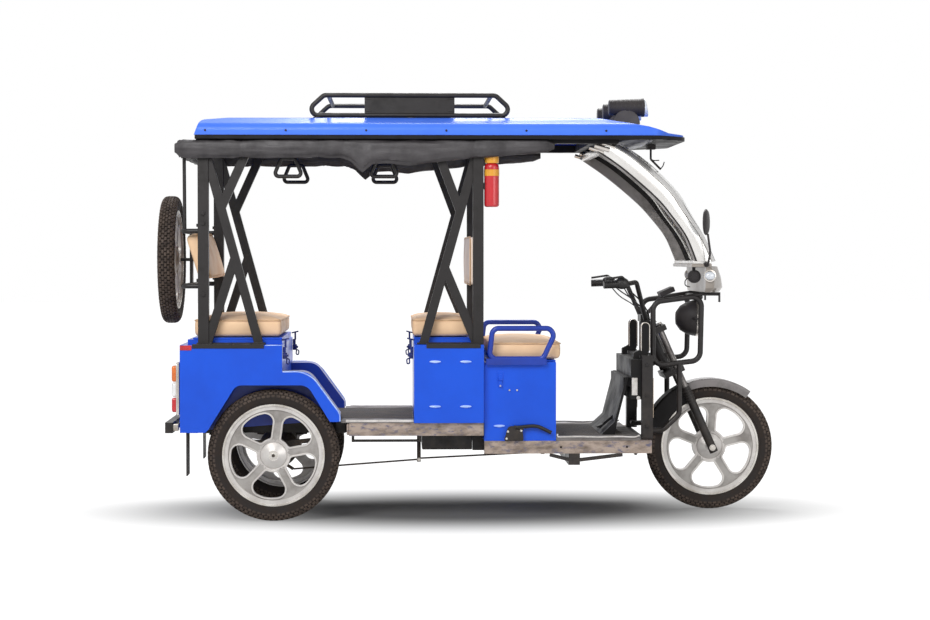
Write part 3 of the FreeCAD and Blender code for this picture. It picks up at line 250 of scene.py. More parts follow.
def rod(form, start, end, radius, edge=0.0, sides=28):
    """Round bar between two points (mm), its end edges eased"""
    a, b = at(*start), at(*end)
    way = b - a
    turn = way.to_track_quat("Z", "Y").to_matrix().to_4x4()
    thick = radius / 1000
    new = bmesh.ops.create_cone(form, cap_ends=True, segments=sides, radius1=thick, radius2=thick,
                                depth=way.length, matrix=Matrix.Translation((a + b) / 2) @ turn)
    if edge:
        caps = {f for v in new["verts"] for f in v.link_faces if len(f.verts) > 4}
        eased(form, {e for f in caps for e in f.edges}, edge, 3)


def ball(form, centre, radii, around=20, along=12):
    """Ball or bead about a point (mm) with its radii along X, Y and Z"""
    shape = Matrix.LocRotScale(at(*centre), None, Vector(radii) / 1000)
    bmesh.ops.create_uvsphere(form, u_segments=around, v_segments=along, radius=1, matrix=shape)


def bolt(form, x, y, z, way=(0, -1, 0), size=9):
    """Hexagon head on its washer, standing off a face along a direction"""
    dx, dy, dz = way
    rod(form, (x, y, z), (x + 2 * dx, y + 2 * dy, z + 2 * dz), size * 1.35, 0.4, 20)
    rod(form, (x + 2 * dx, y + 2 * dy, z + 2 * dz), (x + 8 * dx, y + 8 * dy, z + 8 * dz), size, 0.8, 6)


bolts = bmesh.new()
for s in SIDES:
    for z in (1025, 1345, 1390):
        bolt(bolts, -314, s * 447, z, (0, s, 0))
    for z in (1063, 1311):
        bolt(bolts, -338, s * 423, z + 26, (-1, 0, 0), 7)
    for x, z in ((1701, 420), (1701, 560), (1701, 700)):
        bolt(bolts, x, s * 355, z, (0, s, 0), 7)
    for x in (960, 1350, 1640):
        bolt(bolts, x, s * 440, 304, (0, 0, -1), 7)
made("frame_bolts", bolts, black)
cream = finish("cream_film", (226, 206, 184), (206, 184, 160), 0.5, relief=0.1)
paired("leg_post_strips", cream, (1729, 1732.5, 349, 312, 458, 640, 1))


# Floors: sheet pans with a ribbed rubber mat laid on them.
# The ribs run along the vehicle, and a pale strip closes the mat's outer edge.

mat = finish("floor_mat", (122, 118, 116), (92, 86, 82), 0.7, patch=11, relief=0.4, grain=260)
rounded("floor_pans", 1.2, mat)
ribs = bmesh.new()
for i in range(33):
    y = -320 + 20 * i
    block(ribs, 52, 628, y - 3, y + 3, 457, 459.4, 1, 1)
    block(ribs, 1290, 1600, y - 3, y + 3, 375, 377.4, 1, 1)
made("mat_ribs", ribs, finish("mat_rib", (78, 74, 72), (104, 98, 92), 0.65, relief=0.3))


def tube(form, corners, radius, bend=30.0, loop=False, sides=4):
    """Round tube bent through its corner points (mm)"""
    curve = bpy.data.curves.new("tube", "CURVE")
    curve.dimensions = "3D"
    curve.bevel_depth = radius / 1000
    curve.bevel_resolution = sides
    curve.resolution_u = 6
    curve.use_fill_caps = True
    points = [at(*c) for c in corners]
    stops = []
    for i, here in enumerate(points):
        if not loop and i in (0, len(points) - 1):
            stops.append((here, here, here))
            continue
        back = points[i - 1] - here
        ahead = points[(i + 1) % len(points)] - here
        reach = min(bend / 1000, back.length * 0.48, ahead.length * 0.48)
        first, last = here + back.normalized() * reach, here + ahead.normalized() * reach
        stops.append((first, first, first.lerp(here, 0.55)))
        stops.append((last.lerp(here, 0.55), last, last))
    line = curve.splines.new("BEZIER")
    line.bezier_points.add(len(stops) - 1)
    line.use_cyclic_u = loop
    for point, (before, here, after) in zip(line.bezier_points, stops):
        point.handle_left_type = point.handle_right_type = "FREE"
        point.co, point.handle_left, point.handle_right = here, before, after
    carrier = bpy.data.objects.new("tube", curve)
    mesh = bpy.data.meshes.new_from_object(carrier)
    form.from_mesh(mesh)
    bpy.data.objects.remove(carrier)
    bpy.data.curves.remove(curve)
    bpy.data.meshes.remove(mesh)


edging = finish("mat_edging", (214, 210, 206), (176, 170, 164), 0.45, patch=30, relief=0.2)
trim = bmesh.new()
for s in SIDES:
    block(trim, 327, 632, s * 474, s * 466, 450, 461, 1.5)
    tube(trim, [(1284, s * 446, 392), (1284, s * 452, 379), (1380, s * 453, 381), (1470, s * 453, 378),
                (1560, s * 453, 381), (1640, s * 453, 378), (1656, s * 449, 386)], 3.6, 14)
made("mat_edge_trim", trim, edging)


# Rear body: folded sheet, spot welded and sprayed gloss blue.
# Its outer panels end in a rolled bead, and a slotted angle carries the pillars' feet.
# The beads are a pale blue as a painted highlight, and the housings' inner faces a darker blue as painted
# shade.

blue = finish("body_blue", (20, 84, 216), (18, 76, 202), 0.34, coat=0.2, shine=0.2, patch=3, grain=90,
              relief=0.04)
shaded_blue = finish("housing_painted_shade_blue", (24, 60, 166), (20, 48, 140), 0.36, coat=0.2, patch=4, grain=90,
                   relief=0.06, dust=0.2)
# Pale blue as a painted highlight, for the rolled beads and the louvre hoods.
painted_highlight_blue = finish("painted_highlight_blue", (178, 202, 250), (120, 160, 246), 0.25, coat=0.5, patch=20, relief=0.02)
rear_body = rounded("rear_body", 1.3, blue)
rear_body.data.materials.append(shaded_blue)
# Faces inside the wheel housings, and the low inner faces of the body, take the darker blue as painted shade;
# the outer panels keep the body blue.
for face in rear_body.data.polygons:
    x, y, z = face.center
    outer_panel = abs(y) > 0.4885
    if not outer_panel and (x > at(43.5, 0, 0).x or z < 0.65 and abs(y) > 0.346):
        face.material_index = 1
# The rolled beads along the panel edges are pale blue as a painted highlight.
beads = bmesh.new()
for s in SIDES:
    y = s * (BODY_HALF - 1)
    tube(beads, [(44, y, 679), (162, y, 679), (301, y, 489), (301, y, 455)], 3.0, 60)
    tube(beads, [(-34, y, 798), (41, y, 798)], 2.0)
made("panel_beads", beads, painted_highlight_blue)
angles = bmesh.new()
for s in SIDES:
    for x0, x1, tabs in ((-361, -39, (-277, -190, -100)), (690, 934, (760, 850))):
        block(angles, x0, x1, s * 493.5, s * 490.2, 784, 801, 0.8)
        block(angles, x0, x1, s * 493.5, s * 448, 799.6, 802.6, 0.8)
        for x in tabs:
            block(angles, x - 4, x + 4, s * 492, s * 452, 802, 808, 1)
made("pillar_angles", angles, black)
red = finish("red_lens", (200, 22, 34), (160, 14, 22), 0.15, coat=0.8, relief=0.05)
paired("side_reflectors", red, (-415, -363, 494, 490, 776, 798, 1.5), (-419.5, -416, 420, 350, 740, 765, 1.2))


# Seat boxes: the same blue sheet, with pressed louvres, a hasp and toggle latches.

for node in ("middle_seat_box", "driver_seat_box"):
    rounded(node, 1.3, blue)
rounded("armrests", 1, shaded_blue)
for flap in ("rear_seat", "middle_seat", "driver_seat"):
    rounded(flap + "_lid", 1.5, blue, flap + "_flap")
# The louvre hoods are pale blue as a painted highlight.
hoods = bmesh.new()
for wall, places in ((BODY_HALF, ((729, 723), (867, 723), (729, 521), (867, 521))),
                     (DRIVER_BOX_HALF, ((1020, 430), (1165, 430)))):
    for x, z in places:
        for s in SIDES:
            ball(hoods, (x, s * (wall + 1), z), (27, 5.2, 6.2))
made("louvre_hoods", hoods, painted_highlight_blue)
hasps = bmesh.new()
for s in SIDES:
    y = s * DRIVER_BOX_HALF
    block(hasps, 1010, 1038, y, s * 456, 640, 676, 1)
    block(hasps, 1016, 1032, s * 455.5, s * 460, 606, 664, 1.5)
    tube(hasps, [(x, s * y, 640) for x, y in ((1017, 457), (1017, 468), (1031, 468), (1031, 457))], 2.5, 6)
made("driver_box_hasps", hasps, blue)
studs = bmesh.new()
for s in SIDES:
    for x in (1066, 1100):
        bolt(studs, x, s * DRIVER_BOX_HALF, 592, (0, s, 0), 3)
    bolt(studs, 1024, s * 460, 612, (0, s, 0), 3)
made("driver_box_studs", studs, edging)
dark_blue = finish("latch_blue", (26, 40, 110), (30, 32, 60), 0.4, patch=30, relief=0.2)
latches = bmesh.new()
for s in SIDES:
    for x, facing in ((44, 1), (631, -1)):
        y, front = s * 462, x + facing * 24
        for reach, half, low, high in ((20, 13, 736, 764), (26, 16, 746, 756), (14, 9, 764, 790)):
            back, face = sorted((x, x + facing * reach))
            block(latches, back, face, y - half, y + half, low, high, 2)
        rod(latches, (x + facing * 12, y, 786), (x + facing * 12, y, 826), 4.5, 1, 16)
        rod(latches, (x - facing * 6, y, 820), (x + facing * 28, y, 828), 3.5, 1, 12)
        bail = [(front + facing * u, y, z) for u, z in ((-6, 738), (6, 734), (4, 712), (-8, 714))]
        tube(latches, bail, 3, 8, True)
made("seat_latches", latches, dark_blue)


# Roof: one moulded shell in a paler gloss blue over the steel frame, screwed at its edge.
# Under the front it shows a dark bowed liner.

roof_blue = finish("roof_blue", (74, 124, 244), (64, 112, 234), 0.4, coat=0.1, shine=0.2, patch=2, grain=60,
                   relief=0.05)
rounded("roof_shell", 2, roof_blue, fold=25)
screws = bmesh.new()
for s in SIDES:
    for x in (-300, 60, 420, 780, 1140, 1500):
        rod(screws, (x, s * 480, 1762), (x, s * 484, 1762), 5, 1.2, 16)
made("roof_screws", screws, black)


def swept(count, rows, place, loop=True):
    """Skin through rows of points, where place(row, point) says where each one lies"""
    form = bmesh.new()
    ring = [form.verts.new((0, j, 0)) for j in range(count)]
    pairs = list(zip(ring, ring[1:] + ring[:1]))
    line = [form.edges.new(pair) for pair in (pairs if loop else pairs[:-1])]
    if loop:
        form.faces.new(ring)
    for _ in range(rows - 1):
        new = bmesh.ops.extrude_edge_only(form, edges=line)["geom"]
        line = [g for g in new if isinstance(g, bmesh.types.BMEdge)]
        points = [g for g in new if isinstance(g, bmesh.types.BMVert)]
        bmesh.ops.translate(form, verts=points, vec=(1, 0, 0))
    if loop:
        bmesh.ops.edgeloop_fill(form, edges=line)
    for v in form.verts:
        v.co = place(round(v.co.x), round(v.co.y))
    bmesh.ops.recalc_face_normals(form, faces=form.faces)
    return form


liner_navy = finish("liner_navy", (24, 34, 78), (18, 26, 60), 0.4, coat=0.2, relief=0.1)


def liner_place(row, point):
    """Bowed skin under the roof's front: deepest at its middle, closed at its edge"""
    along, across = row / 14, point / 16 * 2 - 1
    x = 1480 + 290 * along
    half = 400 - 150 * max(0.0, along - 0.45) ** 1.5
    deep = 26 * (1 - across ** 4) * sin(pi * min(1.0, 0.12 + along)) ** 0.5
    return at(x, across * half, 1731 - deep)


liner = swept(17, 15, liner_place, loop=False)
bmesh.ops.solidify(liner, geom=liner.faces[:], thickness=0.002)
made("roof_front_liner", liner, liner_navy)


# Luggage rack: bent steel tube with a cut plate on each side, painted with the frame.

rounded("luggage_rack", 0, black)
plates = bmesh.new()
for s in SIDES:
    for x in (428, 803):
        for z in (1858, 1914):
            block(plates, x - 12, x + 12, s * 352, s * 355, z - 3, z + 3, 1)
for s in SIDES:
    for x in (200, 620, 1030):
        rod(plates, (x, s * 350, 1824), (x, s * 350, 1829), 24, 1.5)
made("rack_feet", plates, black)


# Roof lamps: ribbed black cans with a sloped lens ring, each on two half-round plates.

def turned(form, profile, centre, axis=ACROSS, steps=48):
    """Ring or dome spun from a profile of (radius, distance along the axis) in mm"""
    axis = Vector(axis).normalized()
    out = axis.orthogonal().normalized()
    middle = at(*centre)
    points = [form.verts.new(middle + out * (r / 1000) + axis * (a / 1000)) for r, a in profile]
    closed = profile[0][0] > 0.01 or profile[-1][0] > 0.01
    pairs = list(zip(points, points[1:])) + ([(points[-1], points[0])] if closed else [])
    lines = [form.edges.new(pair) for pair in pairs]
    bmesh.ops.spin(form, geom=points + lines, cent=middle, axis=axis, angle=2 * pi, steps=steps,
                   use_merge=True, use_normal_flip=False)
    bmesh.ops.remove_doubles(form, verts=form.verts, dist=TOUCHING)
    bmesh.ops.recalc_face_normals(form, faces=form.faces)


LAMP_BACK, LAMP_Z = 1530, 1880
lamp_black = finish("lamp_black", (46, 43, 44), (60, 56, 56), 0.5, shine=0.2, relief=0.15)
lens = finish("lamp_lens", (216, 220, 226), (190, 196, 204), 0.08, coat=1.0, shine=0.6, relief=0.02)
cans = bmesh.new()
lenses = bmesh.new()
feet = bmesh.new()
for y in (-280, 0, 280):
    profile = [(0, LAMP_BACK), (30, LAMP_BACK), (35, LAMP_BACK + 4)]
    for x in range(LAMP_BACK + 16, 1668, 20):
        wider = (x - LAMP_BACK) / 26
        profile += [(34 + wider, x), (35 + wider, x + 1.5), (35.3 + wider, x + 15), (34.3 + wider, x + 17)]
    profile += [(41, 1680), (42.5, 1683), (42.5, 1692), (36, 1694), (35, 1686), (0, 1686)]
    turned(cans, profile, (0, y, LAMP_Z), AHEAD, 40)
    for side in (-31, 31):
        foot = [(r, side + a) for r, a in ((0, -3), (60, -3), (62, -1), (62, 1), (60, 3), (0, 3))]
        turned(feet, foot, (1609, y, 1806), ACROSS, 48)
    bezel = bmesh.new()
    turned(bezel, [(0, 1693), (41.5, 1693), (41.5, 1706), (37, 1709), (0, 1711)], (0, y, LAMP_Z), AHEAD, 40)
    for v in bezel.verts:
        if v.co.x > at(1700, 0, 0).x:
            v.co.x += (v.co.z - LAMP_Z / 1000) * -0.2 - 0.004
    add(lenses, bezel)
made("roof_lamp_cans", cans, lamp_black, instead=["roof_lamps"])
bmesh.ops.holes_fill(feet, edges=cut_off(feet, (0, 0, 1802), UP, False), sides=0)
made("roof_lamp_feet", feet, finish("lamp_foot", (80, 76, 74), (60, 56, 55), 0.5, relief=0.2))
made("roof_lamp_lenses", lenses, lens)


# Rolled side curtains: coated tarpaulin rolled up under the roof's edge.
# Its free edge winds round the roll, straps pinch it, and one corner hangs out.

tarpaulin = finish("tarpaulin", (62, 59, 61), (36, 33, 35), 0.46, shine=0.4, patch=9, grain=900, relief=0.5)
STRAPS = (-140, 207, 320, 905)
ROLL_BELLY = [(-440, 1642), (-380, 1636), (300, 1636), (352, 1618), (402, 1566), (446, 1604), (520, 1614),
              (616, 1603), (760, 1622), (1000, 1642), (1270, 1664)]
ROLL_TOP = 1721
ROLL_ENDS = (-438, 1267)
ROLL_Y, ROLL_DEPTH, ROLL_SIDES = 467, 42, 32
BACK_ROWS = 120


def belly(x):
    """Height of the side roll's lower edge at a place X"""
    for (x0, z0), (x1, z1) in zip(ROLL_BELLY, ROLL_BELLY[1:]):
        if x <= x1:
            return z0 + (z1 - z0) * max(0.0, x - x0) / (x1 - x0)
    return ROLL_BELLY[-1][1]


def roll_point(x, angle, low, top, depth, end):
    """Point (off to the side, height) on a rolled, creased and strapped section"""
    side, up = cos(angle), sin(angle)
    wound = ((angle / (2 * pi) + 0.6 + 0.03 * sin(x / 130)) % 1.0) * 0.15 - 0.1
    fold = noise.noise(Vector((x / 420, 2.6 * side, 2.6 * up + depth)))
    crease = abs(noise.noise(Vector((x / 150 + 0.8 * up, 4.2 * side + 9, 1.5 * up))))
    strap = max(0.0, 1 - min(abs(x - s) for s in STRAPS) / 55) ** 2
    size = (1 + wound + 0.12 * fold - 0.2 * crease - 0.16 * strap) * min(1.0, 0.5 + end / 70)
    middle, half = (top + low) / 2, (top - low) / 2
    return side * depth / 2 * size, middle + up * half * min(1.02, size)


def side_roll(name, y_middle, grow=1.0, first=ROLL_ENDS[0], last=ROLL_ENDS[1], rows=230):
    """One side roll, or with a little growth a strap laid round it"""
    def place(row, point):
        x = first + (last - first) * row / (rows - 1)
        end = min(x - ROLL_ENDS[0], ROLL_ENDS[1] - x)
        off, z = roll_point(x, point * 2 * pi / ROLL_SIDES, belly(x), ROLL_TOP, ROLL_DEPTH, end)
        middle = (belly(x) + ROLL_TOP) / 2
        return at(x, y_middle + off * grow, middle + (z - middle) * grow)
    return made(name, swept(ROLL_SIDES, rows, place), tarpaulin, crease=62)


def back_place(row, point):
    """Point on the roll across the back, which has no sagging corner"""
    y = -438 + 876 * row / (BACK_ROWS - 1)
    end = min(438 - abs(y) + 30, 60)
    off, z = roll_point(y + 700, point * 2 * pi / ROLL_SIDES, 1640, ROLL_TOP, ROLL_DEPTH, end)
    return at(-417 + off, y, z)


rolls = [side_roll("curtain_roll_right", -ROLL_Y), side_roll("curtain_roll_left", ROLL_Y),
         made("curtain_roll_back", swept(ROLL_SIDES, BACK_ROWS, back_place), tarpaulin, crease=62)]
for piece in rolls:
    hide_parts("rolled_curtains")
for s, side in ((-1, "right"), (1, "left")):
    for i, x in enumerate(STRAPS):
        side_roll("curtain_strap_%s_%d" % (side, i + 1), s * ROLL_Y, 1.05, x - 13, x + 13, 5)


# Grab handles: moulded black loops on webbing straps.

handle_black = finish("handle_black", (32, 30, 30), (46, 43, 42), 0.4, relief=0.1)
rounded("grab_handles", 0, handle_black)


# Seat cushions and backrests: foam in beige leathercloth.
# The cover swells between its piped seams.

leathercloth = finish("seat_leathercloth", (242, 206, 168), (232, 194, 156), 0.5, shine=0.2, patch=7,
                      grain=700, relief=0.4)
pale_cloth = finish("pale_leathercloth", (250, 234, 220), (242, 222, 206), 0.5, shine=0.2, patch=7,
                    grain=700, relief=0.4)
piping = finish("seat_piping", (218, 180, 140), (204, 164, 124), 0.5, patch=20, relief=0.2)
SEAM = 0.34  # the piped seam's height over the middle, as a share of the cushion's depth
CLOTH_STEPS = 20
SWELL = 0.014  # the most that the foam moves the cover


def settle(piece):
    """Apply all modifiers of a piece to its mesh"""
    shape = bpy.data.meshes.new_from_object(piece.evaluated_get(bpy.context.evaluated_depsgraph_get()))
    piece.modifiers.clear()
    piece.data = shape


def cushion(name, node, body, size, place, cover):
    """Cover swollen by its foam, pinned at its foot and at its seam, which is piped"""
    length, width, deep = [s / 1000 for s in size]
    form = bmesh.new()
    core = Matrix.Diagonal((length - 0.012, width - 0.012, deep - 0.008, 1))
    bmesh.ops.create_cube(form, size=1, matrix=core)
    bmesh.ops.bevel(form, geom=list(form.edges), offset=min(0.02, deep * 0.28), segments=4, profile=0.5,
                    affect="EDGES", material=-1)
    piece = linked(name, mesh_of(name, form))
    mesher = piece.modifiers.new("mesher", "REMESH")
    mesher.mode = "VOXEL"
    mesher.voxel_size = 0.008
    settle(piece)
    seam_group = piece.vertex_groups.new(name="seam")
    start = [v.co.copy() for v in piece.data.vertices]
    for i, co in enumerate(start):
        edge = max(abs(co.x) - length / 2, abs(co.y) - width / 2)
        if edge > -0.022 and abs(co.z - SEAM * deep) < 0.005 or co.z < -deep / 2 + 0.012:
            seam_group.add([i], 1.0, "REPLACE")
    cloth = piece.modifiers.new("cover", "CLOTH").settings
    cloth.vertex_group_mass = "seam"
    cloth.quality = 5
    cloth.use_pressure = True
    cloth.uniform_pressure_force = 4
    cloth.tension_stiffness = 12
    cloth.compression_stiffness = 12
    cloth.bending_stiffness = 1.5
    cloth.effector_weights.gravity = 0
    for step in range(1, CLOTH_STEPS + 1):
        scene.frame_set(step)
    settle(piece)
    scene.frame_set(1)
    for v, old in zip(piece.data.vertices, start):
        shift = v.co - old
        if shift.length > SWELL:
            v.co = old + shift.normalized() * SWELL
    smoother = piece.modifiers.new("smoother", "SUBSURF")
    smoother.levels = smoother.render_levels = 1
    settle(piece)
    piece.data.transform(place)
    piece.data.shade_smooth()
    piece.data.materials.append(cover)
    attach(piece, body)
    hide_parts(node)
    line = bmesh.new()
    x, y = size[0] / 2 - 6, size[1] / 2 - 6
    corners = [(x, y), (-x, y), (-x, -y), (x, -y)]
    tube(line, [(u - REAR_AXLE * 1000, v, SEAM * size[2]) for u, v in corners], 3.2, 24, True, 2)
    bmesh.ops.transform(line, matrix=place, verts=line.verts)
    made(name + "_piping_1", line, piping, body)


for seat, width, x0, x1, z0, z1 in (("rear", 784, -365, 38, 829, 921), ("middle", 784, 621, 896, 829, 921),
                                    ("driver", 840, 974, 1306, 727, 815)):
    middle = Matrix.Translation(at((x0 + x1) / 2, 0, (z0 + z1) / 2))
    cushion(seat + "_seat_cushion", seat + "_cushion", seat + "_seat_flap", (x1 - x0, width, z1 - z0), middle,
            leathercloth)
lean = Matrix.Translation(at(-338, 0, 1197)) @ Matrix.Rotation(radians(-17.5), 4, "Y") @ Matrix.Rotation(
    radians(90), 4, "Y")
cushion("rear_back_pad", "rear_backrest", "root", (222, 797, 70), lean, leathercloth)
upright = Matrix.Translation(at(907, 0, 1176.5)) @ Matrix.Rotation(radians(-90), 4, "Y")
cushion("middle_back_pad", "middle_backrest", "root", (231, 797, 50), upright, pale_cloth)


# Wheels: tubed tyre with small staggered knobs on a silver painted five-spoke casting.
# The hub carries a dust cap and the axle nut.
# The recessed web between the casting's ribs is a darker silver as painted shade.

rubber = finish("tyre_rubber", (40, 35, 33), (56, 48, 43), 0.75, shine=0.2, patch=20, relief=0.5)
tread = finish("tread_knobs", (78, 66, 58), (46, 40, 37), 0.7, shine=0.3, patch=30, relief=0.4)
casting = finish("wheel_silver", (208, 204, 200), (176, 170, 166), 0.36, metal=0.35, shine=0.4, patch=9,
                 relief=0.2)
recess_shade = finish("wheel_recess_painted_shade", (166, 162, 158), (134, 129, 125), 0.5, metal=0.25, patch=12, relief=0.3)
bright = finish("bright_steel", (206, 202, 196), (160, 152, 142), 0.25, metal=0.85, relief=0.1)
TREAD = [(0, 298, 0, 0.0)] + [  # distance off the middle (mm), radius, tilt in degrees, shift in steps
    (s * off, radius, s * tilt, shift) for off, radius, tilt, shift in (
        (13.5, 297.6, 6, 0.5), (27, 293.6, 32, 0.0), (37, 282.5, 64, 0.5), (39.4, 268, 86, 0.0))
    for s in (1, -1)]
KNOBS = 76


def tyre_mesh():
    """Tyre about the Y axis at the rear axle's point, with nine rows of knobs"""
    form = bmesh.new()
    half = [(231.5, 30), (236, 33), (240, 33.5), (242, 35.5), (262, 39.5), (266, 39.6), (267.5, 37.6),
            (272, 37.2), (281, 34), (287, 27), (291, 14)]
    profile = [(r, -a) for r, a in half] + [(r, a) for r, a in reversed(half)]
    turned(form, profile, (0, 0, 0), ACROSS, 96)
    knob = bmesh.new()
    block(knob, -8.6, 8.6, -5.8, 5.8, -8, 0, 1.2, 1)
    bmesh.ops.translate(knob, verts=knob.verts, vec=-AXLE_POINT)
    shape = mesh_of("knob", knob)
    shape.polygons.foreach_set("material_index", [1] * len(shape.polygons))
    for off, radius, tilt, shift in TREAD:
        for i in range(KNOBS):
            copy = shape.copy()
            turn = Matrix.Rotation((i + shift) * 2 * pi / KNOBS, 4, "Y")
            lean = Matrix.Rotation(radians(-tilt), 4, "X")
            stand = Matrix.Translation((0, off / 1000, radius / 1000)) @ lean
            copy.transform(Matrix.Translation(AXLE_POINT) @ turn @ stand)
            form.from_mesh(copy)
            bpy.data.meshes.remove(copy)
    bpy.data.meshes.remove(shape)
    return form


def moved(form, place):
    """The same mesh taken from the rear axle's point to a place"""
    bmesh.ops.transform(form, matrix=place @ Matrix.Translation(-AXLE_POINT), verts=form.verts)
    return form


WHEELS = [  # name, body, hub point, turn about Z, hub face's distance
    ("rear_wheel_right", "rear_wheel_right", (0, -WHEEL_Y, AXLE_Z), 0, 40),
    ("rear_wheel_left", "rear_wheel_left", (0, WHEEL_Y, AXLE_Z), 180, 40),
    ("front_wheel", "front_wheel", (FRONT_AXLE_X, 0, AXLE_Z), 0, 40),
    ("spare_wheel", "root", (-500, 0, 1182), 90, 36)]
for name, body, hub, turn, face in WHEELS:
    place = Matrix.Translation(at(*hub)) @ Matrix.Rotation(radians(turn), 4, "Z")
    tyre = made(name + "_tyre", moved(tyre_mesh(), place), rubber, body, [name.replace("wheel", "tyre")])
    tyre.data.materials.append(tread)
    rim = rounded(name.replace("wheel", "rim"), 0.8, casting, body, fold=35, flats=False)
    rim.data.materials.append(recess_shade)
    back = place.inverted()
    # Faces of the recessed web, between the ribs, take the darker silver as painted shade.
    for part in rim.data.polygons:
        middle, facing = back @ part.center, (back.to_3x3() @ part.normal).y
        if abs(facing) > 0.7 and abs(middle.y + 0.02) < 0.0015 and middle.xz.length > 0.069:
            part.material_index = 1
    ring = bmesh.new()
    turned(ring, [(222.5, -32.6), (230.6, -32.6), (230.6, -30), (222.5, -30)], (0, 0, 0), ACROSS, 96)
    made(name + "_lip", moved(ring, place), bright, body)
    if name != "front_wheel":
        cap = bmesh.new()
        nut = [(14, -face - 0.4), (22, -face - 0.4), (24, -face + 3), (14, -face + 3)]
        turned(cap, nut, (0, 0, 0), steps=32)
        rod(cap, (0, 1 - face, 0), (0, -5 - face, 0), 13, 1, 6)
        made(name + "_nut", moved(cap, place), bright, body)


# Spare wheel carrier: two bars bolted behind the rear posts, with stays up to the roof.

rounded("spare_carrier", 0, black)
stays = bmesh.new()
for s in SIDES:
    rod(stays, (-400, s * 400, 1322), (-402, s * 400, 1650), 8, 1, 18)
made("carrier_stays", stays, black)


# Rear trim: tail lamps in bright frames, bumper and rubber mud flaps.

amber = finish("amber_lens", (226, 120, 40), (204, 96, 26), 0.15, coat=0.8, relief=0.05)
clear = finish("clear_lens", (232, 232, 232), (206, 206, 208), 0.12, coat=0.8, relief=0.05)
chrome = finish("chrome_trim", (206, 200, 194), (170, 162, 152), 0.16, metal=0.9, relief=0.03)
for lens_name, colour, z0, z1 in (("amber", amber, 634, 706), ("clear", clear, 566, 630),
                                  ("red", red, 497, 562)):
    paired("tail_lens_" + lens_name, colour, (-454, -427, 426, 480, z0, z1, 9, 3))
cases = bmesh.new()
for s in SIDES:
    block(cases, -430, -418.4, s * 421, s * 485, 483, 722, 5, 3)
    tube(cases, [(-430, s * y, z) for y, z in ((424, 489), (424, 716), (482, 716), (482, 489))], 4, 10, True)
made("tail_lamp_bodies", cases, chrome, instead=["tail_lamps"])
rounded("rear_bumper", 3, black)
paired("bumper_brackets", bright, (-456, -430, 418, 372, 408, 438, 3))
flap_rubber = finish("flap_rubber", (44, 42, 42), (66, 60, 56), 0.6, relief=0.3)
rounded("mud_flaps", 1.5, flap_rubber, flats=False)


# Rear axle, springs, brake linkage and lever: cast and forged steel, dusty black.

iron = finish("axle_iron", (42, 39, 38), (64, 54, 48), 0.6, metal=0.2, patch=24, relief=0.5, dust=0.35)
rounded("rear_axle", 1.2, iron, fold=35)
rounded("leaf_springs", 0.8, iron)
rounded("brake_linkage", 0, iron)
rounded("battery_and_controller", 4, black)
LEVER_Y = -472
SECTOR_FRONT = 1128  # the solid's straight lever is cut off here, and a bent one stands in its place
sector = bmesh.new()
sector.from_mesh(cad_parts["parking_lever"].data)
bmesh.ops.remove_doubles(sector, verts=sector.verts, dist=TOUCHING)
bmesh.ops.edgeloop_fill(sector, edges=cut_off(sector, (SECTOR_FRONT, 0, 0), AHEAD, True))
made("parking_lever_sector", sector, black, instead=["parking_lever"])
pins = bmesh.new()
for x, z in ((1052, 374), (1058, 406), (1118, 410)):
    bolt(pins, x, LEVER_Y, z, size=4)
bolt(pins, 658, -272, 262, size=6)
bolt(pins, 1230, -262, 295, size=5)
made("linkage_pins", pins, bright)
grip = bmesh.new()
tube(grip, [(x, LEVER_Y, z) for x, z in ((1092, 424), (1184, 433), (1222, 417), (1254, 400))], 8.4, 40)
made("parking_lever_grip", grip, handle_black)


# Leg shield and console at the front: pressed sheet in the frame's black.
# Two cheeks with bright edging stand above it, and a bare grey plate is screwed to its side.

gloss_black = finish("shield_black", (22, 21, 22), (32, 30, 29), 0.5, shine=0.15, patch=8, relief=0.15)
rounded("leg_shield", 2, gloss_black)
cheeks = bmesh.new()
for s in SIDES:
    for y in (s * 238.5, s * 271.5):
        tube(cheeks, [(1684, y, 762), (1684, y, 891), (1722, y, 891), (1722, y, 762)], 2.6, 20)
made("cheek_edging", cheeks, chrome)
console = bmesh.new()
for s in SIDES:
    block(console, 1634, 1660, s * 333, s * 330, 560, 640, 1)
    rod(console, (1664, s * 330, 548), (1664, s * 338, 548), 9, 2, 20)
made("console_plates", console, edging)


# Windscreen: bright bands of bowed stainless down both sides of a curved clear glass.
# Behind each bright band run a rubber line and a dull lip, a dark lining closes its inner side,
# and a streaked flange lies on the glass in front of it.
# These black and mid-grey strips are partly real rubber and trim, partly a painted reflection across the
# stainless.

SCREEN_EDGE = [  # x front, z front, x back, z back, half width at that height (mm)
    (1521, 1706, 1440, 1670, 402), (1637, 1633, 1574, 1574, 390), (1790, 1500, 1716, 1454, 372),
    (1863, 1399, 1790, 1378, 360), (1944, 1284, 1856, 1290, 346), (1997, 1175, 1903, 1175, 334)]
GLASS_BULGE = (120, 108, 88, 76, 62, 58)
SCREEN_ROWS = 61
STRIP_POINTS, FLANGE_POINTS = 9, 7


def smooth(values, t):
    """Value on a smooth curve through evenly spaced values, at a share t of its length"""
    last = len(values) - 1
    i = min(int(t * last), last - 1)
    u = t * last - i
    a, b, c, d = (values[min(max(k, 0), last)] for k in (i - 1, i, i + 1, i + 2))
    return b + 0.5 * u * (c - a + u * (2 * a - 5 * b + 4 * c - d + u * (3 * (b - c) + d - a)))


def screen_row(row):
    """Front and back edge of the band, and its half width, at one of the rows"""
    t = row / (SCREEN_ROWS - 1)
    return [smooth([edge[k] for edge in SCREEN_EDGE], t) for k in range(5)]


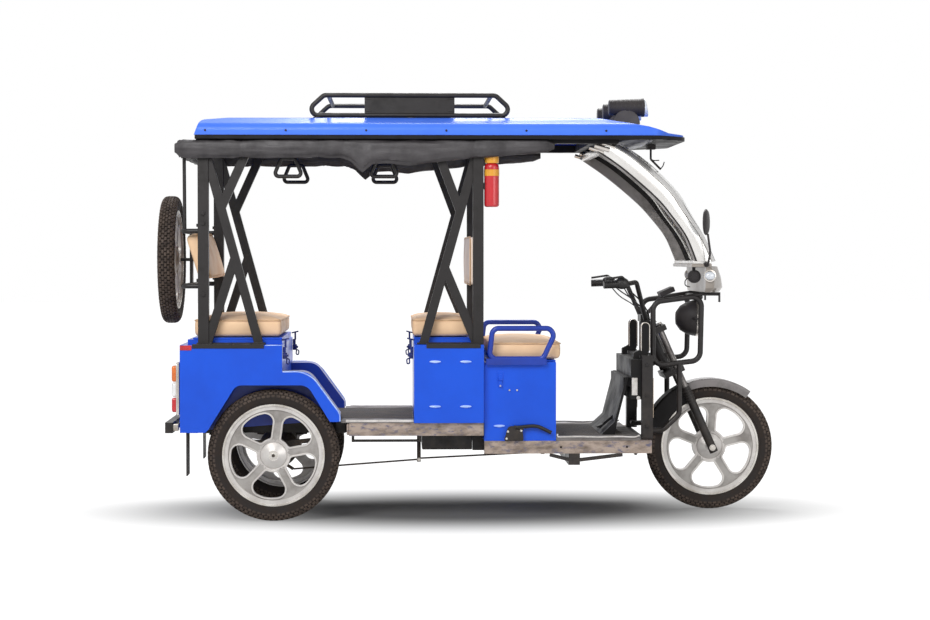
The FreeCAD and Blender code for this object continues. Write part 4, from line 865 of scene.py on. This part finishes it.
def strip(name, first, last, skins, material):
    """Bowed strip on both sides, between two shares of the band's width; skins: outer, inner side and bow"""
    whole = bmesh.new()
    outside, inside, bow = skins
    for s in SIDES:
        def place(row, point):
            x0, z0, x1, z1, half = screen_row(row)
            outer = point < STRIP_POINTS
            share = (point if outer else 2 * STRIP_POINTS - 1 - point) / (STRIP_POINTS - 1)
            u = first + (last - first) * share
            y = half + outside + bow * sin(pi * share) if outer else half + inside
            return at(x0 + (x1 - x0) * u, s * y, z0 + (z1 - z0) * u)
        add(whole, swept(2 * STRIP_POINTS, SCREEN_ROWS, place))
    return made(name, whole, material, crease=40)


def glass_at(row, across, ahead):
    """Point on the bowed glass at a height's row and a share across it, a little ahead of it (mm)"""
    x0, z0, _, _, half = screen_row(row)
    bulge = smooth(GLASS_BULGE, row / (SCREEN_ROWS - 1))
    return at(x0 + ahead + bulge * (1 - across ** 2), across * half, z0)


stainless = finish("polished_stainless", (222, 220, 217), (196, 192, 188), 0.26, metal=0.6, patch=5,
                   grain=120, relief=0.04, stretch=(0.5, 1, 0.5))
satin_reflection_grey = finish("satin_steel_painted_reflection", (150, 146, 144), (104, 100, 98), 0.4, metal=0.3, patch=6, relief=0.1)
seal = finish("screen_seal", (30, 28, 28), (44, 40, 38), 0.5, relief=0.1)
# From front to back, the band's bright, black and mid-grey strips are partly real rubber and dull steel,
# partly a painted reflection across the bowed metal.
bands = strip("screen_bands", 0.0, 0.68, (0, -15, 5), stainless)
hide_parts("windscreen_frame")
strip("screen_band_seals", 0.68, 0.76, (2, -16, 1), seal)
strip("screen_band_lips_painted_reflection", 0.76, 0.84, (0, -17, 1), satin_reflection_grey)
strip("screen_band_linings_painted_reflection", 0.3, 0.76, (-15, -17.5, 0), satin_reflection_grey)
strip("screen_lining_seals", 0.04, 0.3, (-15, -18, 0), seal)
flanges = bmesh.new()
for s in SIDES:
    def flange_place(row, point):
        outer = point < FLANGE_POINTS
        step = point if outer else 2 * FLANGE_POINTS - 1 - point
        return glass_at(row, s * (1.0 - 0.2 * step / (FLANGE_POINTS - 1)), 8 if outer else 5)
    add(flanges, swept(2 * FLANGE_POINTS, SCREEN_ROWS, flange_place))
streaked = finish("streaked_stainless", (214, 212, 210), (176, 172, 168), 0.3, metal=0.4, patch=9,
                  relief=0.04, stretch=(0.2, 14, 0.2))
made("screen_front_flanges", flanges, streaked, crease=40)
clips = bmesh.new()
x0, z0, x1, z1, _ = SCREEN_EDGE[0]
for s in SIDES:
    for u, thick in ((0.08, 9), (0.4, 14), (0.7, 9)):
        x, z = x0 + (x1 - x0) * u, z0 + (z1 - z0) * u
        rod(clips, (x - 34, s * 396, z + 10), (x + 34, s * 396, z - 12), thick, 2, 20)
block(clips, 1462, 1498, -386, 386, 1664, 1690, 2)
made("screen_top_clips", clips, chrome)

glass = bpy.data.materials.new("screen_glass")
glass.use_nodes = True
preset(glass.node_tree.nodes["Principled BSDF"], {
    "Base Color": tone(230, 229, 227), "Roughness": 0.03, "Transmission Weight": 1.0, "IOR": 1.08})
sheet = swept(25, SCREEN_ROWS, lambda row, point: glass_at(row, point / 12 - 1, 2), loop=False)
bmesh.ops.solidify(sheet, geom=sheet.faces[:], thickness=0.004)
made("windscreen_glass", sheet, glass, instead=["windscreen"], crease=50)
seals = bmesh.new()
for across in (-0.79, 0.79):
    line = [glass_at(row, across, 5) - AXLE_POINT for row in range(0, SCREEN_ROWS, 6)]
    tube(seals, [point * 1000 for point in line], 3.5, 60)
made("glass_seals", seals, seal)


# Nose: a moulded cover below the glass, under a bright sill and one in its own paint.

nose_paint = finish("nose_paint", (154, 146, 138), (134, 124, 114), 0.34, coat=0.3, patch=6, relief=0.08)
rounded("nose_fairing", 2, nose_paint, flats=False)
for sill, paint, x0, x1, half, z0, z1, edge in (("upper", stainless, 1914, 1999, 334, 1163, 1177, 3),
                                                ("lower", nose_paint, 1908, 2001, 336, 1147, 1163, 4)):
    form = bmesh.new()
    block(form, x0, x1, -half, half, z0, z1, edge)
    made("screen_sill_" + sill, form, paint)


# Horn, clear side lamps, headlamp, mirrors and wiper, bolted to the nose and cage.

HORN, HEADLAMP, MIRROR_Y = (1926, 0, 1104), (1925, 0, 905), 385
horns = bmesh.new()
turned(horns, [(0, -300), (8, -303), (20, -303), (26, -300), (30, -296), (30, -270), (22, -262), (0, -262)],
       HORN, ACROSS, 36)
for r in (12, 18, 24):
    turned(horns, [(r, -304.5), (r + 2, -304.5), (r + 2, -302), (r, -302)], HORN, ACROSS, 36)
block(horns, 1918, 1934, -276, -272, 1130, 1149, 1)
tube(horns, [(1900, -285, 1098), (1884, -285, 1088), (1884, -280, 1062), (1908, -275, 1056)], 2.5, 10)
made("horn", horns, lamp_black, instead=["horn_and_indicators"])
clusters = bmesh.new()
for s in SIDES:
    ball(clusters, (1992, s * 333, 1108), (26, 17, 20), 24, 14)
made("side_lamps", clusters, lens)
rims = bmesh.new()
for s in SIDES:
    turned(rims, [(22, 330), (28, 330), (28, 336), (22, 337)], (1992, 0, 1108), (0, s, 0), 32)
    rod(rims, (1992, s * 334, 1108), (1992, s * 347, 1108), 6, 1, 16)
made("side_lamp_bezels", rims, chrome)
bowl = bmesh.new()
turned(bowl, [(0, -48), (30, -46), (58, -26), (76, 4), (84, 34), (86, 52), (82, 58), (78, 58), (76, 46),
              (0, 46)], HEADLAMP, AHEAD, 48)
for s in SIDES:
    rod(bowl, (1950, s * 66, 905), (1966, s * 217, 905), 6, 0, 16)
made("headlamp_bowl", bowl, lamp_black, instead=["headlamp"])
front = bmesh.new()
turned(front, [(0, 62), (30, 60), (60, 54), (78, 47), (78, 44), (0, 44)], HEADLAMP, AHEAD, 48)
made("headlamp_glass", front, lens)
bezel = bmesh.new()
turned(bezel, [(79, 44), (88, 44), (89, 52), (84, 61), (78, 60)], HEADLAMP, AHEAD, 48)
made("headlamp_rim", bezel, chrome)

MIRROR_BACK = [(0, 12), (0.5, 11.5), (0.85, 8), (1, 1), (1, -4), (0.93, -7), (0.93, -5), (0, -5)]
MIRROR_FACE = [(0, -5.6), (0.92, -5.6), (0.92, -4), (0, -4)]
mirror_backs, mirror_faces, stems = bmesh.new(), bmesh.new(), bmesh.new()
for s in SIDES:
    turn = Matrix.Rotation(radians(s * 18), 4, "Z")
    centre = at(1967, s * MIRROR_Y, 1353)
    for form, profile in ((mirror_backs, MIRROR_BACK), (mirror_faces, MIRROR_FACE)):
        part = bmesh.new()
        turned(part, [(r * 1000, a * 1000) for r, a in profile], (-REAR_AXLE * 1000, 0, 0), AHEAD, 40)
        squash = Matrix.Translation(centre) @ turn @ Matrix.Diagonal((0.001, 0.062, 0.059, 1))
        bmesh.ops.transform(part, matrix=squash, verts=part.verts)
        bmesh.ops.recalc_face_normals(part, faces=part.faces)
        add(form, part)
    y = s * MIRROR_Y
    tube(stems, [(1975, s * 335, 1160), (1975, y, 1160), (1986, y, 1215), (1974, y, 1300)], 5, 14)
    rod(stems, (1975, s * 334, 1160), (1975, s * 345, 1160), 12, 1, 20)
made("mirror_heads", mirror_backs, lamp_black, instead=["mirrors"])
silvered = finish("mirror_glass", (206, 210, 214), (196, 200, 204), 0.04, metal=1.0, relief=0.0)
made("mirror_faces", mirror_faces, silvered)
made("mirror_stems", stems, lamp_black)
rounded("wiper", 0, lamp_black)
hooks = bmesh.new()
tube(hooks, [(1758, 14, 1662), (1770, 14, 1650), (1800, 14, 1652)], 2.5, 8)
tube(hooks, [(1806, -3, 1612), (1816, -3, 1624), (1822, -3, 1644)], 2.5, 8)
made("wiper_springs", hooks, lamp_black)


# Fire extinguisher: a red bottle with a yellow collar and band, clamped to the middle post.

extinguisher_red = finish("extinguisher_red", (196, 36, 44), (176, 26, 34), 0.25, coat=0.6, relief=0.04)
yellow = finish("extinguisher_yellow", (226, 162, 52), (206, 140, 40), 0.35, coat=0.3, relief=0.05)
BOTTLE = (986, -424, 0)
bottle = bmesh.new()
turned(bottle, [(0, 1420), (26, 1420), (32, 1424), (34, 1432), (34, 1598), (31, 1610), (24, 1617), (15, 1622),
                (0, 1622)], BOTTLE, UP, 40)
made("extinguisher_bottle", bottle, extinguisher_red, instead=["fire_extinguisher"])
collar = bmesh.new()
turned(collar, [(34.1, 1560), (34.8, 1561), (34.8, 1588), (34.1, 1589)], BOTTLE, UP, 40)
turned(collar, [(15, 1618), (31, 1618), (33, 1630), (32, 1652), (22, 1662), (0, 1664), (0, 1618)],
       BOTTLE, UP, 32)
made("extinguisher_collar", collar, yellow)
valve = bmesh.new()
block(valve, 956, 1022, -429, -419, 1655, 1664, 2)
block(valve, 950, 990, -440, -408, 1500, 1530, 1)
made("extinguisher_valve", valve, lamp_black)


# Steering: steel fork tubes in black legs, stem, handlebar with rubber grips, and a small display.

rounded("fork", 1.5, black, "steering")
rounded("handlebar", 0, handle_black, "steering")
sliders = bmesh.new()
nuts = bmesh.new()
for s in SIDES:
    rod(sliders, (1784, s * 100, 869), (1914, s * 100, 577), 15.5, 1, 32)
    bolt(nuts, FRONT_AXLE_X, s * 120, AXLE_Z, (0, s, 0), 11)
    for x, z in ((1791, 880), (1857, 717)):
        bolt(nuts, x, s * 100, z, (-0.41, 0, 0.91), 9)
fork_steel = finish("fork_steel", (120, 116, 114), (70, 66, 64), 0.3, metal=0.6, patch=20, relief=0.1)
made("fork_tubes", sliders, fork_steel, "steering")
made("fork_nuts", nuts, bright, "steering")
CABLES = ((3.4, ((1607, 306, 1062), (1640, 270, 1030), (1700, 150, 985), (1742, 60, 930), (1752, 30, 880))),
          (2.8, ((1600, 306, 1052), (1632, 250, 1006), (1700, 120, 960), (1750, 48, 900))))
sleeves = bmesh.new()
gaiters = bmesh.new()
for s in SIDES:
    for i in range(14):
        share = 0.02 + i * 0.05
        x, y, z = (1505 + 107 * share), s * (318 - 13 * share), (1066 + 4 * share)
        rod(sleeves, (x, y, z), (x + 3.6, y - s * 0.4, z + 0.14), 17.6, 0.8, 24)
    ball(sleeves, (1590, s * 308, 1073), (34, 21, 27))
    for i in range(5):
        x, z = 1918 + 5.5 * i, 568 - 12.4 * i
        rod(gaiters, (x, s * 100, z), (x + 2.6, s * 100, z - 6), 22.5, 1.5, 24)
    for thick, line in CABLES:
        tube(sleeves, [(x, s * y, z) for x, y, z in line], thick, 60)
made("grip_sleeves", sleeves, handle_black, "steering")
made("fork_gaiters", gaiters, flap_rubber, "steering")
display = bmesh.new()
block(display, -36, 36, -60, 60, -12, 12, 4, 3)
tilt = (Matrix.Translation(at(1832, 0, 1030)) @ Matrix.Rotation(radians(-23), 4, "Y")
        @ Matrix.Translation(-AXLE_POINT))
bmesh.ops.transform(display, matrix=tilt, verts=display.verts)
rod(display, (1732, 0, 915), (1822, 0, 1020), 9, 0, 20)
made("handlebar_display", display, lamp_black, "steering")


# Front mudguard: a silver grey pressing with a broad black rubber flap behind the fork.
# Its faces turned in towards the tyre are black as painted shade.

guard = finish("mudguard_grey", (136, 131, 130), (96, 92, 90), 0.3, coat=0.3, relief=0.1)
mudguard = rounded("front_mudguard", 1, guard, "steering", fold=30, flats=False)
mudguard.data.materials.append(gloss_black)
# The flap behind the fork is black rubber; the faces turned in towards the tyre are black as painted shade.
for face in mudguard.data.polygons:
    outwards = face.normal.dot(face.center - at(FRONT_AXLE_X, face.center.y * 1000, AXLE_Z))
    if face.center.x < at(1930, 0, 0).x or outwards < -0.1:
        face.material_index = 1


# The studio: a pale floor with a painted shadow under the vehicle, soft lamps and a white surround.

def shown(tree):
    """1 where a surface or the world is looked at, straight, in a reflection or through the glass"""
    path = tree.nodes.new("ShaderNodeLightPath")
    seen = path.outputs["Is Camera Ray"]
    for way in ("Is Glossy Ray", "Is Transmission Ray"):
        seen = reckoned(tree, "MAXIMUM", seen, path.outputs[way])
    return seen


WHITE = (1, 1, 1, 1)
PAINTED_SHADOW_OVAL, PAINTED_SHADOW_REACH = (0.57, 1.18, 1), (0.35, 1.3)  # the painted shadow's oval under the vehicle, and where it fades into white
floor = bmesh.new()
bmesh.ops.create_grid(floor, x_segments=1, y_segments=1, size=45)
ground = bpy.data.materials.new("studio_floor")
ground.use_nodes = True
tree = ground.node_tree
matt = preset(tree.nodes["Principled BSDF"], {"Roughness": 0.9, "Specular IOR Level": 0.1})
looked_at = shown(tree)
# The camera sees the floor dark, and the glow below whitens it only outside an oval round the vehicle, which
# leaves a painted shadow there.
tree.links.new(blended(tree, looked_at, (0.82, 0.82, 0.82, 1), (0.17, 0.17, 0.17, 1)),
               matt.inputs["Base Color"])
spot = tree.nodes.new("ShaderNodeTexCoord")
oval = preset(tree.nodes.new("ShaderNodeMapping"), {"Scale": PAINTED_SHADOW_OVAL})
tree.links.new(spot.outputs["Object"], oval.inputs["Vector"])
away = tree.nodes.new("ShaderNodeVectorMath")
away.operation = "LENGTH"
tree.links.new(oval.outputs["Vector"], away.inputs[0])
reach = spread(tree, away.outputs["Value"], *PAINTED_SHADOW_REACH, kind="SMOOTHSTEP")
glow = preset(tree.nodes.new("ShaderNodeEmission"), {"Color": WHITE})
tree.links.new(reckoned(tree, "MULTIPLY", looked_at, reach), glow.inputs["Strength"])
both = tree.nodes.new("ShaderNodeAddShader")
tree.links.new(matt.outputs["BSDF"], both.inputs[0])
tree.links.new(glow.outputs["Emission"], both.inputs[1])
tree.links.new(both.outputs["Shader"], tree.nodes["Material Output"].inputs["Surface"])
studio_floor = linked("studio_floor", mesh_of("studio_floor", floor))
studio_floor.data.materials.append(ground)

SKY_LIGHT = 0.26
world = bpy.data.worlds.new("studio")
scene.world = world
world.use_nodes = True
tree = world.node_tree
sky = preset(tree.nodes["Background"], {"Color": WHITE})
tree.links.new(spread(tree, shown(tree), to_low=SKY_LIGHT), sky.inputs["Strength"])

for name, place, aim, power, size in (("key", (-2.2, -5.2, 4.2), (0, 0, 0.8), 265, 3.0),
                                      ("fill", (3.5, -4.5, 2.2), (0.2, 0, 0.9), 70, 3.0),
                                      ("top", (0.3, 2.6, 5.2), (0, -0.4, 0), 240, 2.6)):
    lamp = bpy.data.lights.new(name, "AREA")
    lamp.energy = power
    lamp.size = size
    stand = linked(name, lamp)
    stand.location = place
    stand.rotation_euler = (Vector(aim) - Vector(place)).to_track_quat("-Z", "Y").to_euler()

view = bpy.data.cameras.new("camera")
view.lens = 82.95
view.sensor_width = 36
camera = linked("camera", view)
camera.location = (REAR_AXLE + 0.559, -10.12, 1.198)
camera.rotation_euler = (radians(90 - 1.44), 0, radians(-1.81))
scene.camera = camera
scene.view_settings.view_transform = "Standard"
